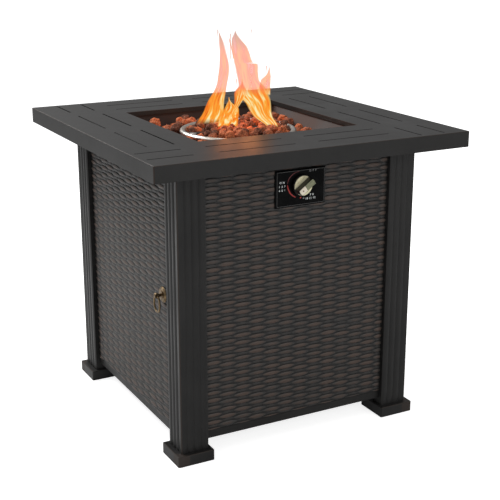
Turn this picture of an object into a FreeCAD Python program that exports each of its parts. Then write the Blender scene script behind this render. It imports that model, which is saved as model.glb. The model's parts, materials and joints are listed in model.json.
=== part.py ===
import FreeCAD, Part
import itertools
import math
import os
import random

from FreeCAD import Vector

os.makedirs("parts", exist_ok=True)

# Gas fire pit table, millimetres. The origin is the centre of the base on the ground, +Z is up.
# The control panel faces -Y, the door faces -X and is hinged at its rear edge.

# Overall sizes
top_side = 711.0
total_height = 646.0
base_side = 554.0

# Tabletop, a folded sheet with a fire opening and vent slots
top_sheet = 1.5
apron_height = 33.0
apron_return = 12.0
top_corner_radius = 2.0
top_edge_radius = 1.2
opening_side = 376.0
lip_depth = 9.5
slot_width = 4.0
slot_length = 168.0
short_slot_length = 95.0
slot_gap = 52.5
slot_start = 11.0
outer_slot_row = 57.0
inner_slot_row = 115.0
stud_length = 14.0
studs_per_side = 2
stud_spacing = 240.0

# Legs, fluted sheet with folded returns
leg_face = 62.0
leg_bands = 4
flute_depth = 2.0
first_crest_depth = 0.4
leg_sheet = 2.0
leg_return = 34.0
arris_radius = 2.0
leg_plate = 4.0

# Feet, hollow caps that stand proud of the legs
foot_side = 81.0
foot_height = 23.0
foot_proud = 11.5
foot_wall = 4.0
foot_edge_radius = 2.5
foot_rim_radius = 1.25

# Rails between the legs
bottom_rail_low = 37.5
bottom_rail_height = 17.0
bottom_rail_depth = 20.0
bottom_rail_setback = 14.0
bottom_rail_wall = 1.5
top_rail_height = 32.0
top_rail_setback = 12.0
top_rail_depth = 20.0
rail_sheet = 2.0
cleat_length = 40.0
cleat_drop = 24.0
cleat_reach = 17.0
cleat_spacing = 300.0

# Side panels and the door
panel_recess = 9.0
panel_thickness = 3.0
panel_fold = 1.5
panel_return = 18.0
panel_stiffener = 8.0
panel_bottom_gap = 2.5
panel_top_gap = 3.0
panel_screw_rows = 3
panel_screw_margin = 60.0
door_side_gap = 3.25
door_return = 15.0

# Embossed weave of the panels and the door
weave_depth = 2.0
weave_row = 16.5
weave_column = 34.4
weave_first_column = 15.6
weave_first_row = -1.1
door_weave_column = 35.0
door_weave_first_column = 9.5
door_weave_first_row = 1.9
land_inset = 1.0

# Door pivots and catch
pivot_radius = 2.5
pivot_inset_edge = 5.75
pivot_inset_face = 6.0
pivot_reach = 9.0
pivot_bracket_width = 26.0
pivot_bracket_sheet = 1.5
pivot_bracket_lip = 0.5
pivot_washer_radius = 5.0
pivot_washer_thickness = 0.7
catch_offset = 190.0
catch_width = 30.0
catch_depth = 14.0
catch_height = 16.0
catch_plate_thickness = 1.5
strike_height = 12.0
strike_sheet = 1.5
strike_margin = 2.0
catch_air_gap = 0.3

# Ring pull on the door
pull_offset = 181.0
pull_height = 337.0
rosette_radius = 17.0
rosette_top_radius = 13.6
rosette_thickness = 3.0
rosette_boss_radius = 8.5
rosette_boss_height = 1.5
pull_post_radius = 3.1
pull_stand_off = 13.5
pull_eye_radius = 5.5
pull_eye_width = 7.0
pull_ring_radius = 13.3
pull_ring_straight = 8.0
pull_wire_radius = 2.0
pull_eye_play = 1.0

# Control plate, knob and gas valve
control_below_top = 91.0
plate_width = 117.0
plate_height = 77.0
plate_drop = 6.0
plate_thickness = 4.0
plate_bevel = 2.5
knob_radius = 22.0
knob_skirt = 5.0
knob_edge_radius = 1.4
knob_depth = 22.2
knob_cap_radius = 20.6
knob_taper = 1.6
knob_grip_height = 15.4
knob_socket = 11.4
knob_grip_width = 13.0
knob_angle = 126.0
knob_stand_off = 4.6
stem_radius = 4.0
stem_hole_play = 1.0
stem_in_valve = 25.0
push_travel = 3.5
valve_radius = 15.0
valve_length = 32.0
valve_flange_width = 26.0
valve_flange_height = 44.0
valve_flange = 5.0
valve_flange_corner = 3.25
valve_neck_radius = 7.5
valve_neck_play = 0.5
valve_neck_setback = 0.2
valve_screw_spacing = 30.0
collar_radius = 7.0
collar_thickness = 2.0
collar_setback = 4.0
collar_room = 1.0
side_unit_radius = 8.0
side_unit_length = 26.0
side_clip_length = 8.0
side_clip_wall = 1.5
side_unit_sink = 2.5
igniter_edge_radius = 1.0
flare_radius = 7.0
flare_length = 10.0
inlet_thread_radius = 7.94
inlet_thread_length = 12.0
inlet_hex = 16.0
inlet_hex_height = 6.0
inlet_boss_radius = 9.0
inlet_boss_length = 22.0
inlet_boss_setback = 17.0
inlet_socket_radius = 6.0
inlet_socket_depth = 8.0
gas_bore_radius = 3.0
gas_tube_radius = 4.0
tube_straight = 4.0
flare_nut_hex = 18.0
flare_nut_grip = 8.0
flare_nut_tail = 6.0

# Fire pan under the opening
pan_sheet = 1.5
pan_depth = 57.5
pan_lip_gap = 2.0
pan_floor_side = 320.0
pan_flange = 24.0
pan_top_corner = 5.0
pan_floor_corner = 30.0
drain_radius = 4.0
drain_spacing = 80.0
lead_hole_radius = 7.0

# Ring burner and its feed
ring_radius = 122.5
ring_tube_radius = 6.35
ring_wall = 1.0
ring_clearance = 26.15
port_count = 36
port_radius = 1.1
hub_radius = 14.0
hub_below_ring = 21.5
hub_above_ring = 6.5
hub_cap = 2.0
pipe_radius = 10.45
pipe_bore_radius = 8.0
socket_depth = 10.0
locknut_hex = 32.0
locknut_height = 6.0
elbow_radius = 14.0
elbow_up = 22.0
elbow_out = 22.0
elbow_below_nut = 2.5
mixer_length = 69.0
mixer_end = 4.0
air_slot_length = 20.0
air_slot_width = 7.0
air_slot_setback = 4.0
injector_thread_radius = 5.0
injector_thread_length = 8.0
injector_hex = 16.0
injector_hex_length = 8.0
jet_radius = 0.6
support_count = 4
support_width = 16.0
support_foot = 24.0
support_sheet = 2.0

# Ignition
probe_offset = 104.0
probe_top = 31.0
electrode_radius = 3.5
electrode_tip_radius = 1.0
electrode_tip = 9.0
electrode_shoulder = 1.5
electrode_shoulder_height = 3.0
thermocouple_radius = 3.0
probe_below_bracket = 5.0
probe_lead_lap = 1.0
wire_radius = 1.5
lead_radius = 1.2
lead_bend_radius = 20.0
bracket_width = 68.0
bracket_depth = 20.0
bracket_height = 11.5
bracket_foot = 8.0
bracket_sheet = 1.5

# Heat shield between the burner and the gas cylinder
shield_side = 360.0
shield_drop = 58.0
shield_sheet = 1.0
shield_edge = 10.0
standoff_hex = 10.0
standoff_spacing = 250.0
standoff_stud = 9.0

# Cylinder shelf, collar and clamp
shelf_sheet = 2.0
shelf_turn_up = 15.0
shelf_hole_radius = 80.0
cylinder_foot_radius = 101.6
collar_play = 1.9
collar_wall = 2.0
collar_height = 25.0
clamp_height = 13.0
clamp_pad_radius = 7.0
clamp_pad_thickness = 4.0
clamp_pad_play = 1.0
clamp_pad_setback = 0.5
clamp_pad_edge_radius = 0.8
clamp_pad_web = 1.0
clamp_end_play = 0.3
clamp_nose_radius = 2.0
clamp_screw_radius = 4.0
clamp_screw_length = 46.0
clamp_bridge_reach = 16.0
clamp_bridge_sheet = 3.0
clamp_bridge_width = 24.0
clamp_bridge_height = 22.0
clamp_bridge_sink = 1.0
clamp_knob_radius = 11.0
clamp_knob_thickness = 8.0
clamp_knob_lobes = 6
clamp_knob_scallop = 4.5
clamp_knob_scallop_offset = 3.0

# Fasteners
bolt_radius = 3.0
bolt_length = 14.0
bolt_hex = 10.0
bolt_head = 4.0
nut_height = 5.0
screw_radius = 2.1
screw_length = 10.0
screw_head_radius = 4.0
screw_head = 2.4
screw_sink = 0.3

# Lava rocks
rock_largest = 18.5
rock_smallest = 10.0
rock_pile_below_top = 6.0
rock_edge_below_top = 11.0
rock_tries = 60
rock_count = 340
rock_first_roll = 8.0
rock_last_roll = 0.5
rock_nesting = 0.86
rock_clearance = 0.5
rock_ring_room = 1.2
rock_seed = 7
rock_least_pull = 0.88
rock_lift = 0.01
rock_touch = 0.001

# Clearances and tool lengths
running = 0.05
bolt_play = 0.3
weld_lap = 0.5
hole_reach = 5.0
# past is how far a cutting tool runs beyond the face it cuts
past = 1.0
same_place = 0.01

# Places worked out from the sizes above
control_height = total_height - control_below_top
top_half = top_side / 2
base_half = base_side / 2
leg_inner = base_half - leg_face
sheet_under = total_height - top_sheet
apron_bottom = total_height - apron_height
opening_half = opening_side / 2
foot_inner = base_half + foot_proud - foot_side
return_end = base_half - leg_return
bottom_rail_top = bottom_rail_low + bottom_rail_height
bottom_rail_face = base_half - bottom_rail_setback
bottom_rail_back = bottom_rail_face - bottom_rail_depth
top_rail_low = sheet_under - top_rail_height
top_rail_face = base_half - top_rail_setback
top_rail_back = top_rail_face - top_rail_depth
panel_face = base_half - panel_recess
panel_back = panel_face - panel_thickness
panel_low = bottom_rail_top + panel_bottom_gap
panel_high = top_rail_low - panel_top_gap
door_half = leg_inner - door_side_gap
door_inner = panel_back - door_return
pivot_x = pivot_inset_edge - door_half
pivot_y = pivot_inset_face - panel_face
catch_pole = door_inner - strike_sheet / 2 - catch_air_gap
plate_face = panel_face + plate_thickness
plate_low = control_height - plate_drop - plate_height / 2
plate_seat = plate_face - screw_head - screw_sink
valve_front = panel_back
valve_rear = valve_front - valve_flange - valve_length
collar_front = valve_front - valve_flange - collar_setback
flare_end = valve_rear - flare_length
side_unit_back = valve_front - valve_flange - side_unit_length
inlet_y = valve_front - valve_flange - inlet_boss_setback
igniter_x = valve_radius + side_unit_radius
probe_x = igniter_x - side_unit_sink
knob_back = plate_face + knob_stand_off
pan_floor = sheet_under - pan_depth
pan_under = pan_floor - pan_sheet
pan_top_half = opening_half + top_sheet + pan_lip_gap
pan_neck_low = total_height - lip_depth - pan_lip_gap
pan_floor_half = pan_floor_side / 2
stud_row = pan_top_half + pan_flange / 2
ring_height = pan_floor + ring_clearance + ring_tube_radius
feed_height = pan_under - locknut_height - elbow_below_nut - elbow_up
mixer_front = elbow_out - socket_depth + mixer_length
injector_front = mixer_front + injector_hex_length + flare_length
bracket_top = pan_floor + bracket_height
shield_top = pan_under - shield_drop
shelf_low = bottom_rail_low
shelf_top = shelf_low + shelf_sheet
collar_inner = cylinder_foot_radius + collar_play
collar_outer = collar_inner + collar_wall
clamp_z = shelf_top + clamp_height
pad_tip = -collar_inner - clamp_pad_setback


def box(x0, x1, y0, y1, z0, z1):
    size = (x1 - x0, y1 - y0, z1 - z0)
    return Part.makeBox(size[0], size[1], size[2], Vector(x0, y0, z0))


def rod(radius, start, end):
    run = Vector(*end) - Vector(*start)
    return Part.makeCylinder(radius, run.Length, Vector(*start), run)


def hexagon(across_flats, start, end):
    run = Vector(*end) - Vector(*start)
    reach = across_flats / math.sqrt(3)
    corners = []
    for step in range(7):
        turn = math.radians(60 * step + 30)
        corners.append(Vector(reach * math.cos(turn), reach * math.sin(turn), 0))
    prism = Part.Face(Part.makePolygon(corners)).extrude(Vector(0, 0, run.Length))
    prism.Placement = FreeCAD.Placement(Vector(*start), FreeCAD.Rotation(Vector(0, 0, 1), run))
    return prism


def turned(shape, quarters):
    copy = shape.copy()
    copy.rotate(Vector(0, 0, 0), Vector(0, 0, 1), 90 * quarters)
    return copy


def joined(first, *others):
    return first.multiFuse(list(others)).removeSplitter()


def cut(shape, *tools):
    return shape.cut(Part.makeCompound(list(tools)))


def upright_edges(shape):
    found = []
    for edge in shape.Edges:
        low = edge.BoundBox
        if low.ZLength > low.XLength + low.YLength + past:
            found.append(edge)
    return found


def level_edges(shape, height, reach):
    found = []
    for edge in shape.Edges:
        bounds = edge.BoundBox
        level = abs(bounds.ZMin - height) < same_place and bounds.ZLength < same_place
        outside = max(abs(bounds.XMin), abs(bounds.XMax), abs(bounds.YMin), abs(bounds.YMax)) > reach
        if level and outside:
            found.append(edge)
    return found


def rounded_square(half, radius, height):
    pieces = []
    flat = half - radius
    bend = radius * (1 - math.cos(math.pi / 4))
    for side in range(4):
        turn = FreeCAD.Rotation(Vector(0, 0, 1), 90 * side)
        a = turn.multVec(Vector(-flat, -half, height))
        b = turn.multVec(Vector(flat, -half, height))
        middle = turn.multVec(Vector(half - bend, -half + bend, height))
        c = turn.multVec(Vector(half, -flat, height))
        pieces.append(Part.LineSegment(a, b).toShape())
        pieces.append(Part.Arc(b, middle, c).toShape())
    return Part.Wire(pieces)


def bowl(top_half_side, floor_half_side, top_radius, floor_radius, low, high):
    lower = rounded_square(floor_half_side, floor_radius, low)
    upper = rounded_square(top_half_side, top_radius, high)
    return Part.makeLoft([lower, upper], True, True)


def upright_square(half, radius, low, high):
    return Part.Face(rounded_square(half, radius, low)).extrude(Vector(0, 0, high - low))


def hex_bolt(start, direction):
    # start is under the head, direction is the way the shank points
    base = Vector(*start)
    way = Vector(*direction)
    head = hexagon(bolt_hex, base - way * bolt_head, base)
    shank = rod(bolt_radius, base, base + way * bolt_length)
    return joined(head, shank)


def hex_nut(start, direction):
    base = Vector(*start)
    way = Vector(*direction)
    body = hexagon(bolt_hex, base, base + way * nut_height)
    return cut(body, rod(bolt_radius + running, base - way, base + way * (nut_height + past)))


def pan_screw(start, direction):
    base = Vector(*start)
    way = Vector(*direction)
    head = rod(screw_head_radius, base - way * screw_head, base)
    shank = rod(screw_radius, base, base + way * screw_length)
    return joined(head, shank)


def bolt_hole(centre, direction, reach):
    middle = Vector(*centre)
    way = Vector(*direction)
    return rod(bolt_radius + bolt_play, middle - way * reach, middle + way * reach)


def screw_hole(centre, direction, reach):
    middle = Vector(*centre)
    way = Vector(*direction)
    return rod(screw_radius + running, middle - way * reach, middle + way * reach)


def quarter_spots():
    return [(-1, -1), (1, -1), (1, 1), (-1, 1)]


def slot_starts():
    first = top_half - slot_start
    second = first - short_slot_length - slot_gap
    third = second - slot_length - slot_gap
    return [(first, short_slot_length), (second, slot_length), (third, slot_length)]


def stud_spots():
    spots = []
    step = stud_spacing / (studs_per_side - 1)
    for quarters in range(4):
        for index in range(studs_per_side):
            along = -stud_spacing / 2 + step * index
            turn = FreeCAD.Rotation(Vector(0, 0, 1), 90 * quarters)
            spots.append(turn.multVec(Vector(along, -stud_row, sheet_under)))
    return spots


def cleat_offsets():
    return [-cleat_spacing / 2, cleat_spacing / 2]


def cleat_bolt_height():
    return sheet_under - cleat_drop / 2 - top_sheet


def tabletop():
    shell = box(-top_half, top_half, -top_half, top_half, apron_bottom, total_height)
    shell = shell.makeFillet(top_corner_radius, upright_edges(shell))
    shell = shell.makeFillet(top_edge_radius,
                             level_edges(shell, total_height, top_half - top_corner_radius - past))
    inner = top_half - top_sheet
    hollow = box(-inner, inner, -inner, inner, apron_bottom - past, sheet_under)
    shell = cut(shell, hollow)
    fold = top_half - apron_return
    lap = inner + weld_lap
    ledge = box(-lap, lap, -lap, lap, apron_bottom, apron_bottom + top_sheet)
    ledge = cut(ledge, box(-fold, fold, -fold, fold, apron_bottom - past, apron_bottom + top_sheet + past))
    outside = opening_half + top_sheet
    lip = box(-outside, outside, -outside, outside, total_height - lip_depth, sheet_under)
    welded = [ledge, lip]
    for quarters in range(4):
        for offset in cleat_offsets():
            low = offset - cleat_length / 2
            high = offset + cleat_length / 2
            rail_inside = top_rail_face - rail_sheet
            upright = box(low, high, -rail_inside, -rail_inside + rail_sheet, sheet_under - cleat_drop,
                          sheet_under)
            foot = box(low, high, -rail_inside, -rail_inside + cleat_reach, sheet_under - rail_sheet,
                       sheet_under)
            hole = bolt_hole((offset, -rail_inside, cleat_bolt_height()), (0, 1, 0), hole_reach)
            welded.append(turned(cut(joined(upright, foot), hole), quarters))
    for spot in stud_spots():
        welded.append(rod(bolt_radius, spot - Vector(0, 0, stud_length), spot))
    shell = joined(shell, *welded)
    tools = [box(-opening_half, opening_half, -opening_half, opening_half, apron_bottom,
                 total_height + past)]
    for quarters in range(4):
        for row in (outer_slot_row, inner_slot_row):
            across = top_half - row
            for start, length in slot_starts():
                slot = box(-across - slot_width / 2, -across + slot_width / 2, start - length, start,
                           sheet_under - same_place, total_height + past)
                tools.append(turned(slot, quarters))
    return cut(shell, *tools)


def leg_outline():
    def face_point(along, deep, side):
        first = -base_half + along
        second = -base_half + deep
        if side == 0:
            return Vector(first, second, 0)
        return Vector(second, first, 0)

    band = leg_face / leg_bands
    groove = flute_depth
    inner = flute_depth + leg_sheet

    def outer_edges(side):
        crest = (arris_radius + band) / 2
        edges = [Part.Arc(face_point(arris_radius, 0, side), face_point(crest, first_crest_depth, side),
                          face_point(band, groove, side)).toShape()]
        for index in range(1, leg_bands):
            start = face_point(band * index, groove, side)
            middle = face_point(band * (index + 0.5), 0, side)
            end = face_point(band * (index + 1), groove, side)
            edges.append(Part.Arc(start, middle, end).toShape())
        edges.append(Part.LineSegment(end, face_point(leg_face, leg_return, side)).toShape())
        return edges

    def inner_edges(side):
        tip = face_point(leg_face, leg_return, side)
        tip_inside = face_point(leg_face - leg_sheet, leg_return, side)
        root = face_point(leg_face - leg_sheet, inner, side)
        edges = [Part.LineSegment(tip, tip_inside).toShape()]
        edges.append(Part.LineSegment(tip_inside, root).toShape())
        edges.append(Part.LineSegment(root, face_point(band * (leg_bands - 1), inner, side)).toShape())
        for index in range(leg_bands - 2, 0, -1):
            start = face_point(band * (index + 1), inner, side)
            middle = face_point(band * (index + 0.5), leg_sheet, side)
            end = face_point(band * index, inner, side)
            edges.append(Part.Arc(start, middle, end).toShape())
        edges.append(Part.LineSegment(end, face_point(inner, inner, side)).toShape())
        return edges

    bend = arris_radius * (1 - math.cos(math.pi / 4))
    arris = Part.Arc(face_point(0, arris_radius, 0), face_point(bend, bend, 0),
                     face_point(arris_radius, 0, 0)).toShape()
    edges = [arris] + outer_edges(0) + inner_edges(0) + inner_edges(1) + outer_edges(1)
    return Part.Face(Part.Wire(Part.__sortEdges__(edges)))


def rail_bolt_spots():
    # across is the distance from the leg's corner line, height is above the ground
    low = (bottom_rail_face - bottom_rail_depth / 2, bottom_rail_low + bottom_rail_height / 2)
    high = (top_rail_face - top_rail_depth / 2, top_rail_low + top_rail_height / 2)
    return [low, high]


def panel_screw_heights():
    step = (panel_high - panel_low - 2 * panel_screw_margin) / (panel_screw_rows - 1)
    return [panel_low + panel_screw_margin + step * index for index in range(panel_screw_rows)]


def panel_screw_depth():
    return (panel_back + panel_back - panel_return) / 2


def foot_bolt_spot():
    return -(base_half + return_end) / 2


def leg(first_face_panel, second_face_panel):
    wall = leg_outline()
    wall.translate(Vector(0, 0, foot_height))
    shape = wall.extrude(Vector(0, 0, sheet_under - foot_height))
    edge = base_half - flute_depth - leg_sheet / 2
    plate = box(-edge, -return_end, -edge, -return_end, foot_height, foot_height + leg_plate)
    shape = joined(shape, plate)
    spot = foot_bolt_spot()
    tools = [bolt_hole((spot, spot, foot_height), (0, 0, 1), hole_reach)]
    for across, height in rail_bolt_spots():
        tools.append(bolt_hole((-leg_inner, -across, height), (1, 0, 0), leg_sheet + past))
        tools.append(bolt_hole((-across, -leg_inner, height), (0, 1, 0), leg_sheet + past))
    for height in panel_screw_heights():
        if first_face_panel:
            tools.append(screw_hole((-leg_inner, -panel_screw_depth(), height), (1, 0, 0), leg_sheet + past))
        if second_face_panel:
            tools.append(screw_hole((-panel_screw_depth(), -leg_inner, height), (0, 1, 0), leg_sheet + past))
    return cut(shape, *tools)


def foot():
    outer = base_half + foot_proud
    block = box(-outer, -foot_inner, -outer, -foot_inner, 0, foot_height)
    block = block.makeFillet(foot_edge_radius, upright_edges(block))
    block = block.makeFillet(foot_rim_radius, level_edges(block, foot_height, 0))
    hollow = box(-outer + foot_wall, -foot_inner - foot_wall, -outer + foot_wall, -foot_inner - foot_wall,
                 -past, foot_height - foot_wall)
    spot = foot_bolt_spot()
    return cut(block, hollow, bolt_hole((spot, spot, foot_height), (0, 0, 1), foot_wall + past))


def bottom_rail():
    shape = box(-leg_inner, leg_inner, -bottom_rail_face, -bottom_rail_back, bottom_rail_low,
                bottom_rail_top)
    wall = bottom_rail_wall
    hollow = box(-leg_inner + rail_sheet, leg_inner - rail_sheet, -bottom_rail_face + wall,
                 -bottom_rail_back - wall, bottom_rail_low + wall, bottom_rail_top - wall)
    across, height = rail_bolt_spots()[0]
    tools = [hollow]
    for side in (-1, 1):
        tools.append(bolt_hole((side * leg_inner, -across, height), (1, 0, 0), rail_sheet + past))
    for offset in shelf_screw_offsets():
        tools.append(screw_hole((offset, -bottom_rail_back, shelf_screw_height()), (0, 1, 0), wall + past))
    return cut(shape, *tools)


def top_rail():
    web = box(-leg_inner, leg_inner, -top_rail_face, -top_rail_face + rail_sheet, top_rail_low, sheet_under)
    flange = box(-leg_inner, leg_inner, -top_rail_face, -top_rail_back, top_rail_low,
                 top_rail_low + rail_sheet)
    tabs = []
    tools = []
    across, height = rail_bolt_spots()[1]
    for side in (-1, 1):
        inside = side * (leg_inner - rail_sheet)
        low = min(inside, side * leg_inner)
        high = max(inside, side * leg_inner)
        tabs.append(box(low, high, -top_rail_face, -top_rail_back, top_rail_low, sheet_under))
        tools.append(bolt_hole((side * leg_inner, -across, height), (1, 0, 0), rail_sheet + past))
    for offset in cleat_offsets():
        tools.append(bolt_hole((offset, -top_rail_face, cleat_bolt_height()), (0, 1, 0), rail_sheet + past))
    return cut(joined(web, flange, *tabs), *tools)


def weave_surface(half, column, first_column, first_row):
    # raised strands in staggered columns, each as a long low diamond with its crest in the middle
    valley = -panel_face + weave_depth
    lift = weave_row / 2
    columns = int((2 * half - first_column) / column) + 2
    rows = int((panel_high - panel_low - first_row) / lift) + 2
    faces = []
    for number, row in itertools.product(range(-1, columns), range(-1, rows)):
        if (number + row) % 2 == 0:
            x = -half + first_column + number * column
            z = panel_low + first_row + row * lift
            crest = Vector(x, -panel_face, z)
            corners = [Vector(x + column, valley, z), Vector(x, valley, z + lift),
                       Vector(x - column, valley, z), Vector(x, valley, z - lift)]
            for first, second in zip(corners, corners[1:] + corners[:1]):
                faces.append(Part.Face(Part.makePolygon([crest, first, second, crest])))
    return Part.Shell(faces)


def woven_sheet(half, column, first_column, first_row):
    # the embossed sheet behind that surface, which splits a blank in two
    blank = box(-half, half, -panel_face - past, -panel_back, panel_low, panel_high)
    surface = weave_surface(half, column, first_column, first_row)
    halves = blank.generalFuse([surface])[0].Solids
    return max(halves, key=lambda solid: solid.CenterOfMass.y)


def folded_panel(face, half, inner, side_return, *lands):
    # an embossed sheet with its four edges folded inwards, and flat lands that carry fittings
    pieces = list(lands)
    z_low = panel_low
    z_high = panel_high
    for side in (-1, 1):
        low = min(side * half, side * (half - panel_fold))
        high = max(side * half, side * (half - panel_fold))
        pieces.append(box(low, high, -panel_back, -panel_back + side_return, z_low, z_high))
    for low, high in ((z_low, z_low + panel_fold), (z_high - panel_fold, z_high)):
        pieces.append(box(-half, half, -panel_back, -inner, low, high))
    return joined(face, *pieces)


def side_panel(*lands):
    face = woven_sheet(leg_inner, weave_column, weave_first_column, weave_first_row)
    shape = folded_panel(face, leg_inner, panel_back - panel_stiffener, panel_return, *lands)
    tools = []
    for height in panel_screw_heights():
        for side in (-1, 1):
            tools.append(screw_hole((side * leg_inner, -panel_screw_depth(), height), (1, 0, 0),
                                    panel_fold + past))
    return cut(shape, *tools)


def front_panel():
    neck = rod(valve_neck_radius, (0, -panel_face - past, control_height),
               (0, -panel_back + past, control_height))
    tools = [neck]
    for height in valve_screw_heights():
        tools.append(screw_hole((0, -panel_face, height), (0, 1, 0), panel_thickness + past))
    half = plate_width / 2 - land_inset
    land = box(-half, half, -panel_face, -panel_back, plate_low + land_inset,
               plate_low + plate_height - land_inset)
    return cut(side_panel(land), *tools)


def door():
    face = woven_sheet(door_half, door_weave_column, door_weave_first_column, door_weave_first_row)
    land = rod(rosette_radius - land_inset, (pull_offset, -panel_face, pull_height),
               (pull_offset, -panel_back, pull_height))
    shape = folded_panel(face, door_half, door_inner, door_return, land)
    tools = [rod(pivot_radius + running, (pivot_x, pivot_y, panel_low - past),
                 (pivot_x, pivot_y, panel_high + past))]
    pull = rod(screw_radius + running, (pull_offset, -panel_face - past, pull_height),
               (pull_offset, -panel_back + past, pull_height))
    tools.append(pull)
    return cut(shape, *tools)


def hinge_brackets():
    edge = -panel_face + pivot_bracket_lip
    low = box(-leg_inner, -leg_inner + pivot_bracket_width, edge, -bottom_rail_back,
              bottom_rail_top, bottom_rail_top + pivot_bracket_sheet)
    high = box(-leg_inner, -leg_inner + pivot_bracket_width, edge, -top_rail_back,
               top_rail_low - pivot_bracket_sheet, top_rail_low)
    hole = rod(pivot_radius, (pivot_x, pivot_y, 0), (pivot_x, pivot_y, total_height))
    return Part.makeCompound([cut(low, hole), cut(high, hole)])


def hinge_pins():
    low = rod(pivot_radius, (pivot_x, pivot_y, bottom_rail_top), (pivot_x, pivot_y, panel_low + pivot_reach))
    high = rod(pivot_radius, (pivot_x, pivot_y, panel_high - pivot_reach), (pivot_x, pivot_y, top_rail_low))
    return Part.makeCompound([low, high])


def hinge_washer():
    seat = bottom_rail_top + pivot_bracket_sheet
    disc = rod(pivot_washer_radius, (pivot_x, pivot_y, seat),
               (pivot_x, pivot_y, seat + pivot_washer_thickness))
    return cut(disc, rod(pivot_radius, (pivot_x, pivot_y, 0), (pivot_x, pivot_y, total_height)))


def catch_magnet():
    low = catch_offset - catch_width / 2
    high = catch_offset + catch_width / 2
    under = top_rail_low - catch_plate_thickness
    plate = box(low, high, -top_rail_face, -catch_pole + catch_depth, under, top_rail_low)
    block = box(low, high, -catch_pole, -catch_pole + catch_depth, under - catch_height, under)
    return joined(plate, block)


def catch_strike():
    low = catch_offset - catch_width / 2 + strike_margin
    high = catch_offset + catch_width / 2 - strike_margin
    under = panel_high - panel_fold
    blade_back = door_inner - strike_sheet / 2
    ledge = box(low, high, -panel_back, -blade_back, under - strike_sheet, under)
    blade = box(low, high, -blade_back - strike_sheet, -blade_back, under - strike_height, under)
    return joined(ledge, blade)


def pull_rosette():
    face = -panel_face
    eye_y = face - pull_stand_off
    front = face - rosette_thickness
    base = Part.makeCone(rosette_radius, rosette_top_radius, rosette_thickness,
                         Vector(pull_offset, face, pull_height), Vector(0, -1, 0))
    raised = rod(rosette_boss_radius, (pull_offset, front + weld_lap, pull_height),
                 (pull_offset, front - rosette_boss_height, pull_height))
    post = rod(pull_post_radius, (pull_offset, front + weld_lap, pull_height),
               (pull_offset, eye_y, pull_height))
    eye = rod(pull_eye_radius, (pull_offset - pull_eye_width / 2, eye_y, pull_height),
              (pull_offset + pull_eye_width / 2, eye_y, pull_height))
    bore = rod(pull_wire_radius + pull_eye_play, (pull_offset - pull_eye_width, eye_y, pull_height),
               (pull_offset + pull_eye_width, eye_y, pull_height))
    thread = rod(screw_radius + running, (pull_offset, -panel_back, pull_height),
                 (pull_offset, -panel_back - screw_length, pull_height))
    return cut(joined(base, raised, post, eye), bore, thread)


def far_rim(shape, level):
    found = []
    for edge in shape.Edges:
        bounds = edge.BoundBox
        if abs(bounds.YMin - level) < same_place and abs(bounds.YMax - level) < same_place:
            found.append(edge)
    return found


def pull_ring():
    # an oval wire ring whose upper bend hangs in the eye
    y = -panel_face - pull_stand_off
    upper = pull_height - pull_ring_radius
    lower = upper - pull_ring_straight
    reach = pull_ring_radius + pull_wire_radius + past
    pieces = []
    for level, far in ((upper, upper + reach), (lower, lower - reach)):
        centre = Vector(pull_offset, y, level)
        bend = Part.makeTorus(pull_ring_radius, pull_wire_radius, centre, Vector(0, 1, 0))
        kept = box(pull_offset - reach, pull_offset + reach, y - reach, y + reach,
                   min(level, far), max(level, far))
        pieces.append(bend.common(kept))
    for side in (-1, 1):
        x = pull_offset + side * pull_ring_radius
        pieces.append(rod(pull_wire_radius, (x, y, lower), (x, y, upper)))
    return joined(*pieces)


def pull_screw():
    return pan_screw((pull_offset, -panel_back, pull_height), (0, -1, 0))


def control_plate():
    half = plate_width / 2
    shape = box(-half, half, -plate_face, -panel_face, plate_low, plate_low + plate_height)
    shape = shape.makeChamfer(plate_bevel, far_rim(shape, -plate_face))
    tools = [rod(stem_radius + stem_hole_play, (0, -plate_face - past, control_height),
                 (0, 0, control_height))]
    for height in valve_screw_heights():
        tools.append(screw_hole((0, -panel_face, height), (0, 1, 0), plate_thickness + past))
        tools.append(rod(screw_head_radius + bolt_play, (0, -plate_face - past, height),
                         (0, -plate_seat, height)))
    return cut(shape, *tools)


def valve_screw_heights():
    return [control_height - valve_screw_spacing / 2, control_height + valve_screw_spacing / 2]


def knob():
    back = -knob_back
    seat = back - knob_skirt
    front = back - knob_depth
    skirt = rod(knob_radius, (0, back, 0), (0, seat, 0))
    skirt = skirt.makeFillet(knob_edge_radius, far_rim(skirt, seat))
    cap = Part.makeCone(knob_cap_radius, knob_cap_radius - knob_taper / 2, -front + seat,
                        Vector(0, seat, 0), Vector(0, -1, 0))
    reach = knob_radius * 2
    half = knob_grip_width / 2
    step = front + knob_grip_height
    sides = [box(-reach, -half, front - past, step, -reach, reach),
             box(half, reach, front - past, step, -reach, reach)]
    grip = cut(cap, *sides)
    grip.rotate(Vector(0, 0, 0), Vector(0, -1, 0), knob_angle)
    shape = joined(skirt, grip)
    shape.translate(Vector(0, 0, control_height))
    socket_end = back - knob_socket
    return cut(shape, rod(stem_radius, (0, back + past, control_height), (0, socket_end, control_height)))


def valve_stem():
    end = -(valve_front - valve_flange - stem_in_valve)
    return rod(stem_radius, (0, -knob_back - knob_socket, control_height), (0, end, control_height))


def push_collar():
    start = -collar_front
    disc = rod(collar_radius, (0, start, control_height), (0, start + collar_thickness, control_height))
    bore_end = start + collar_thickness + past
    return cut(disc,
               rod(stem_radius + running, (0, start - past, control_height), (0, bore_end, control_height)))


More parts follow.
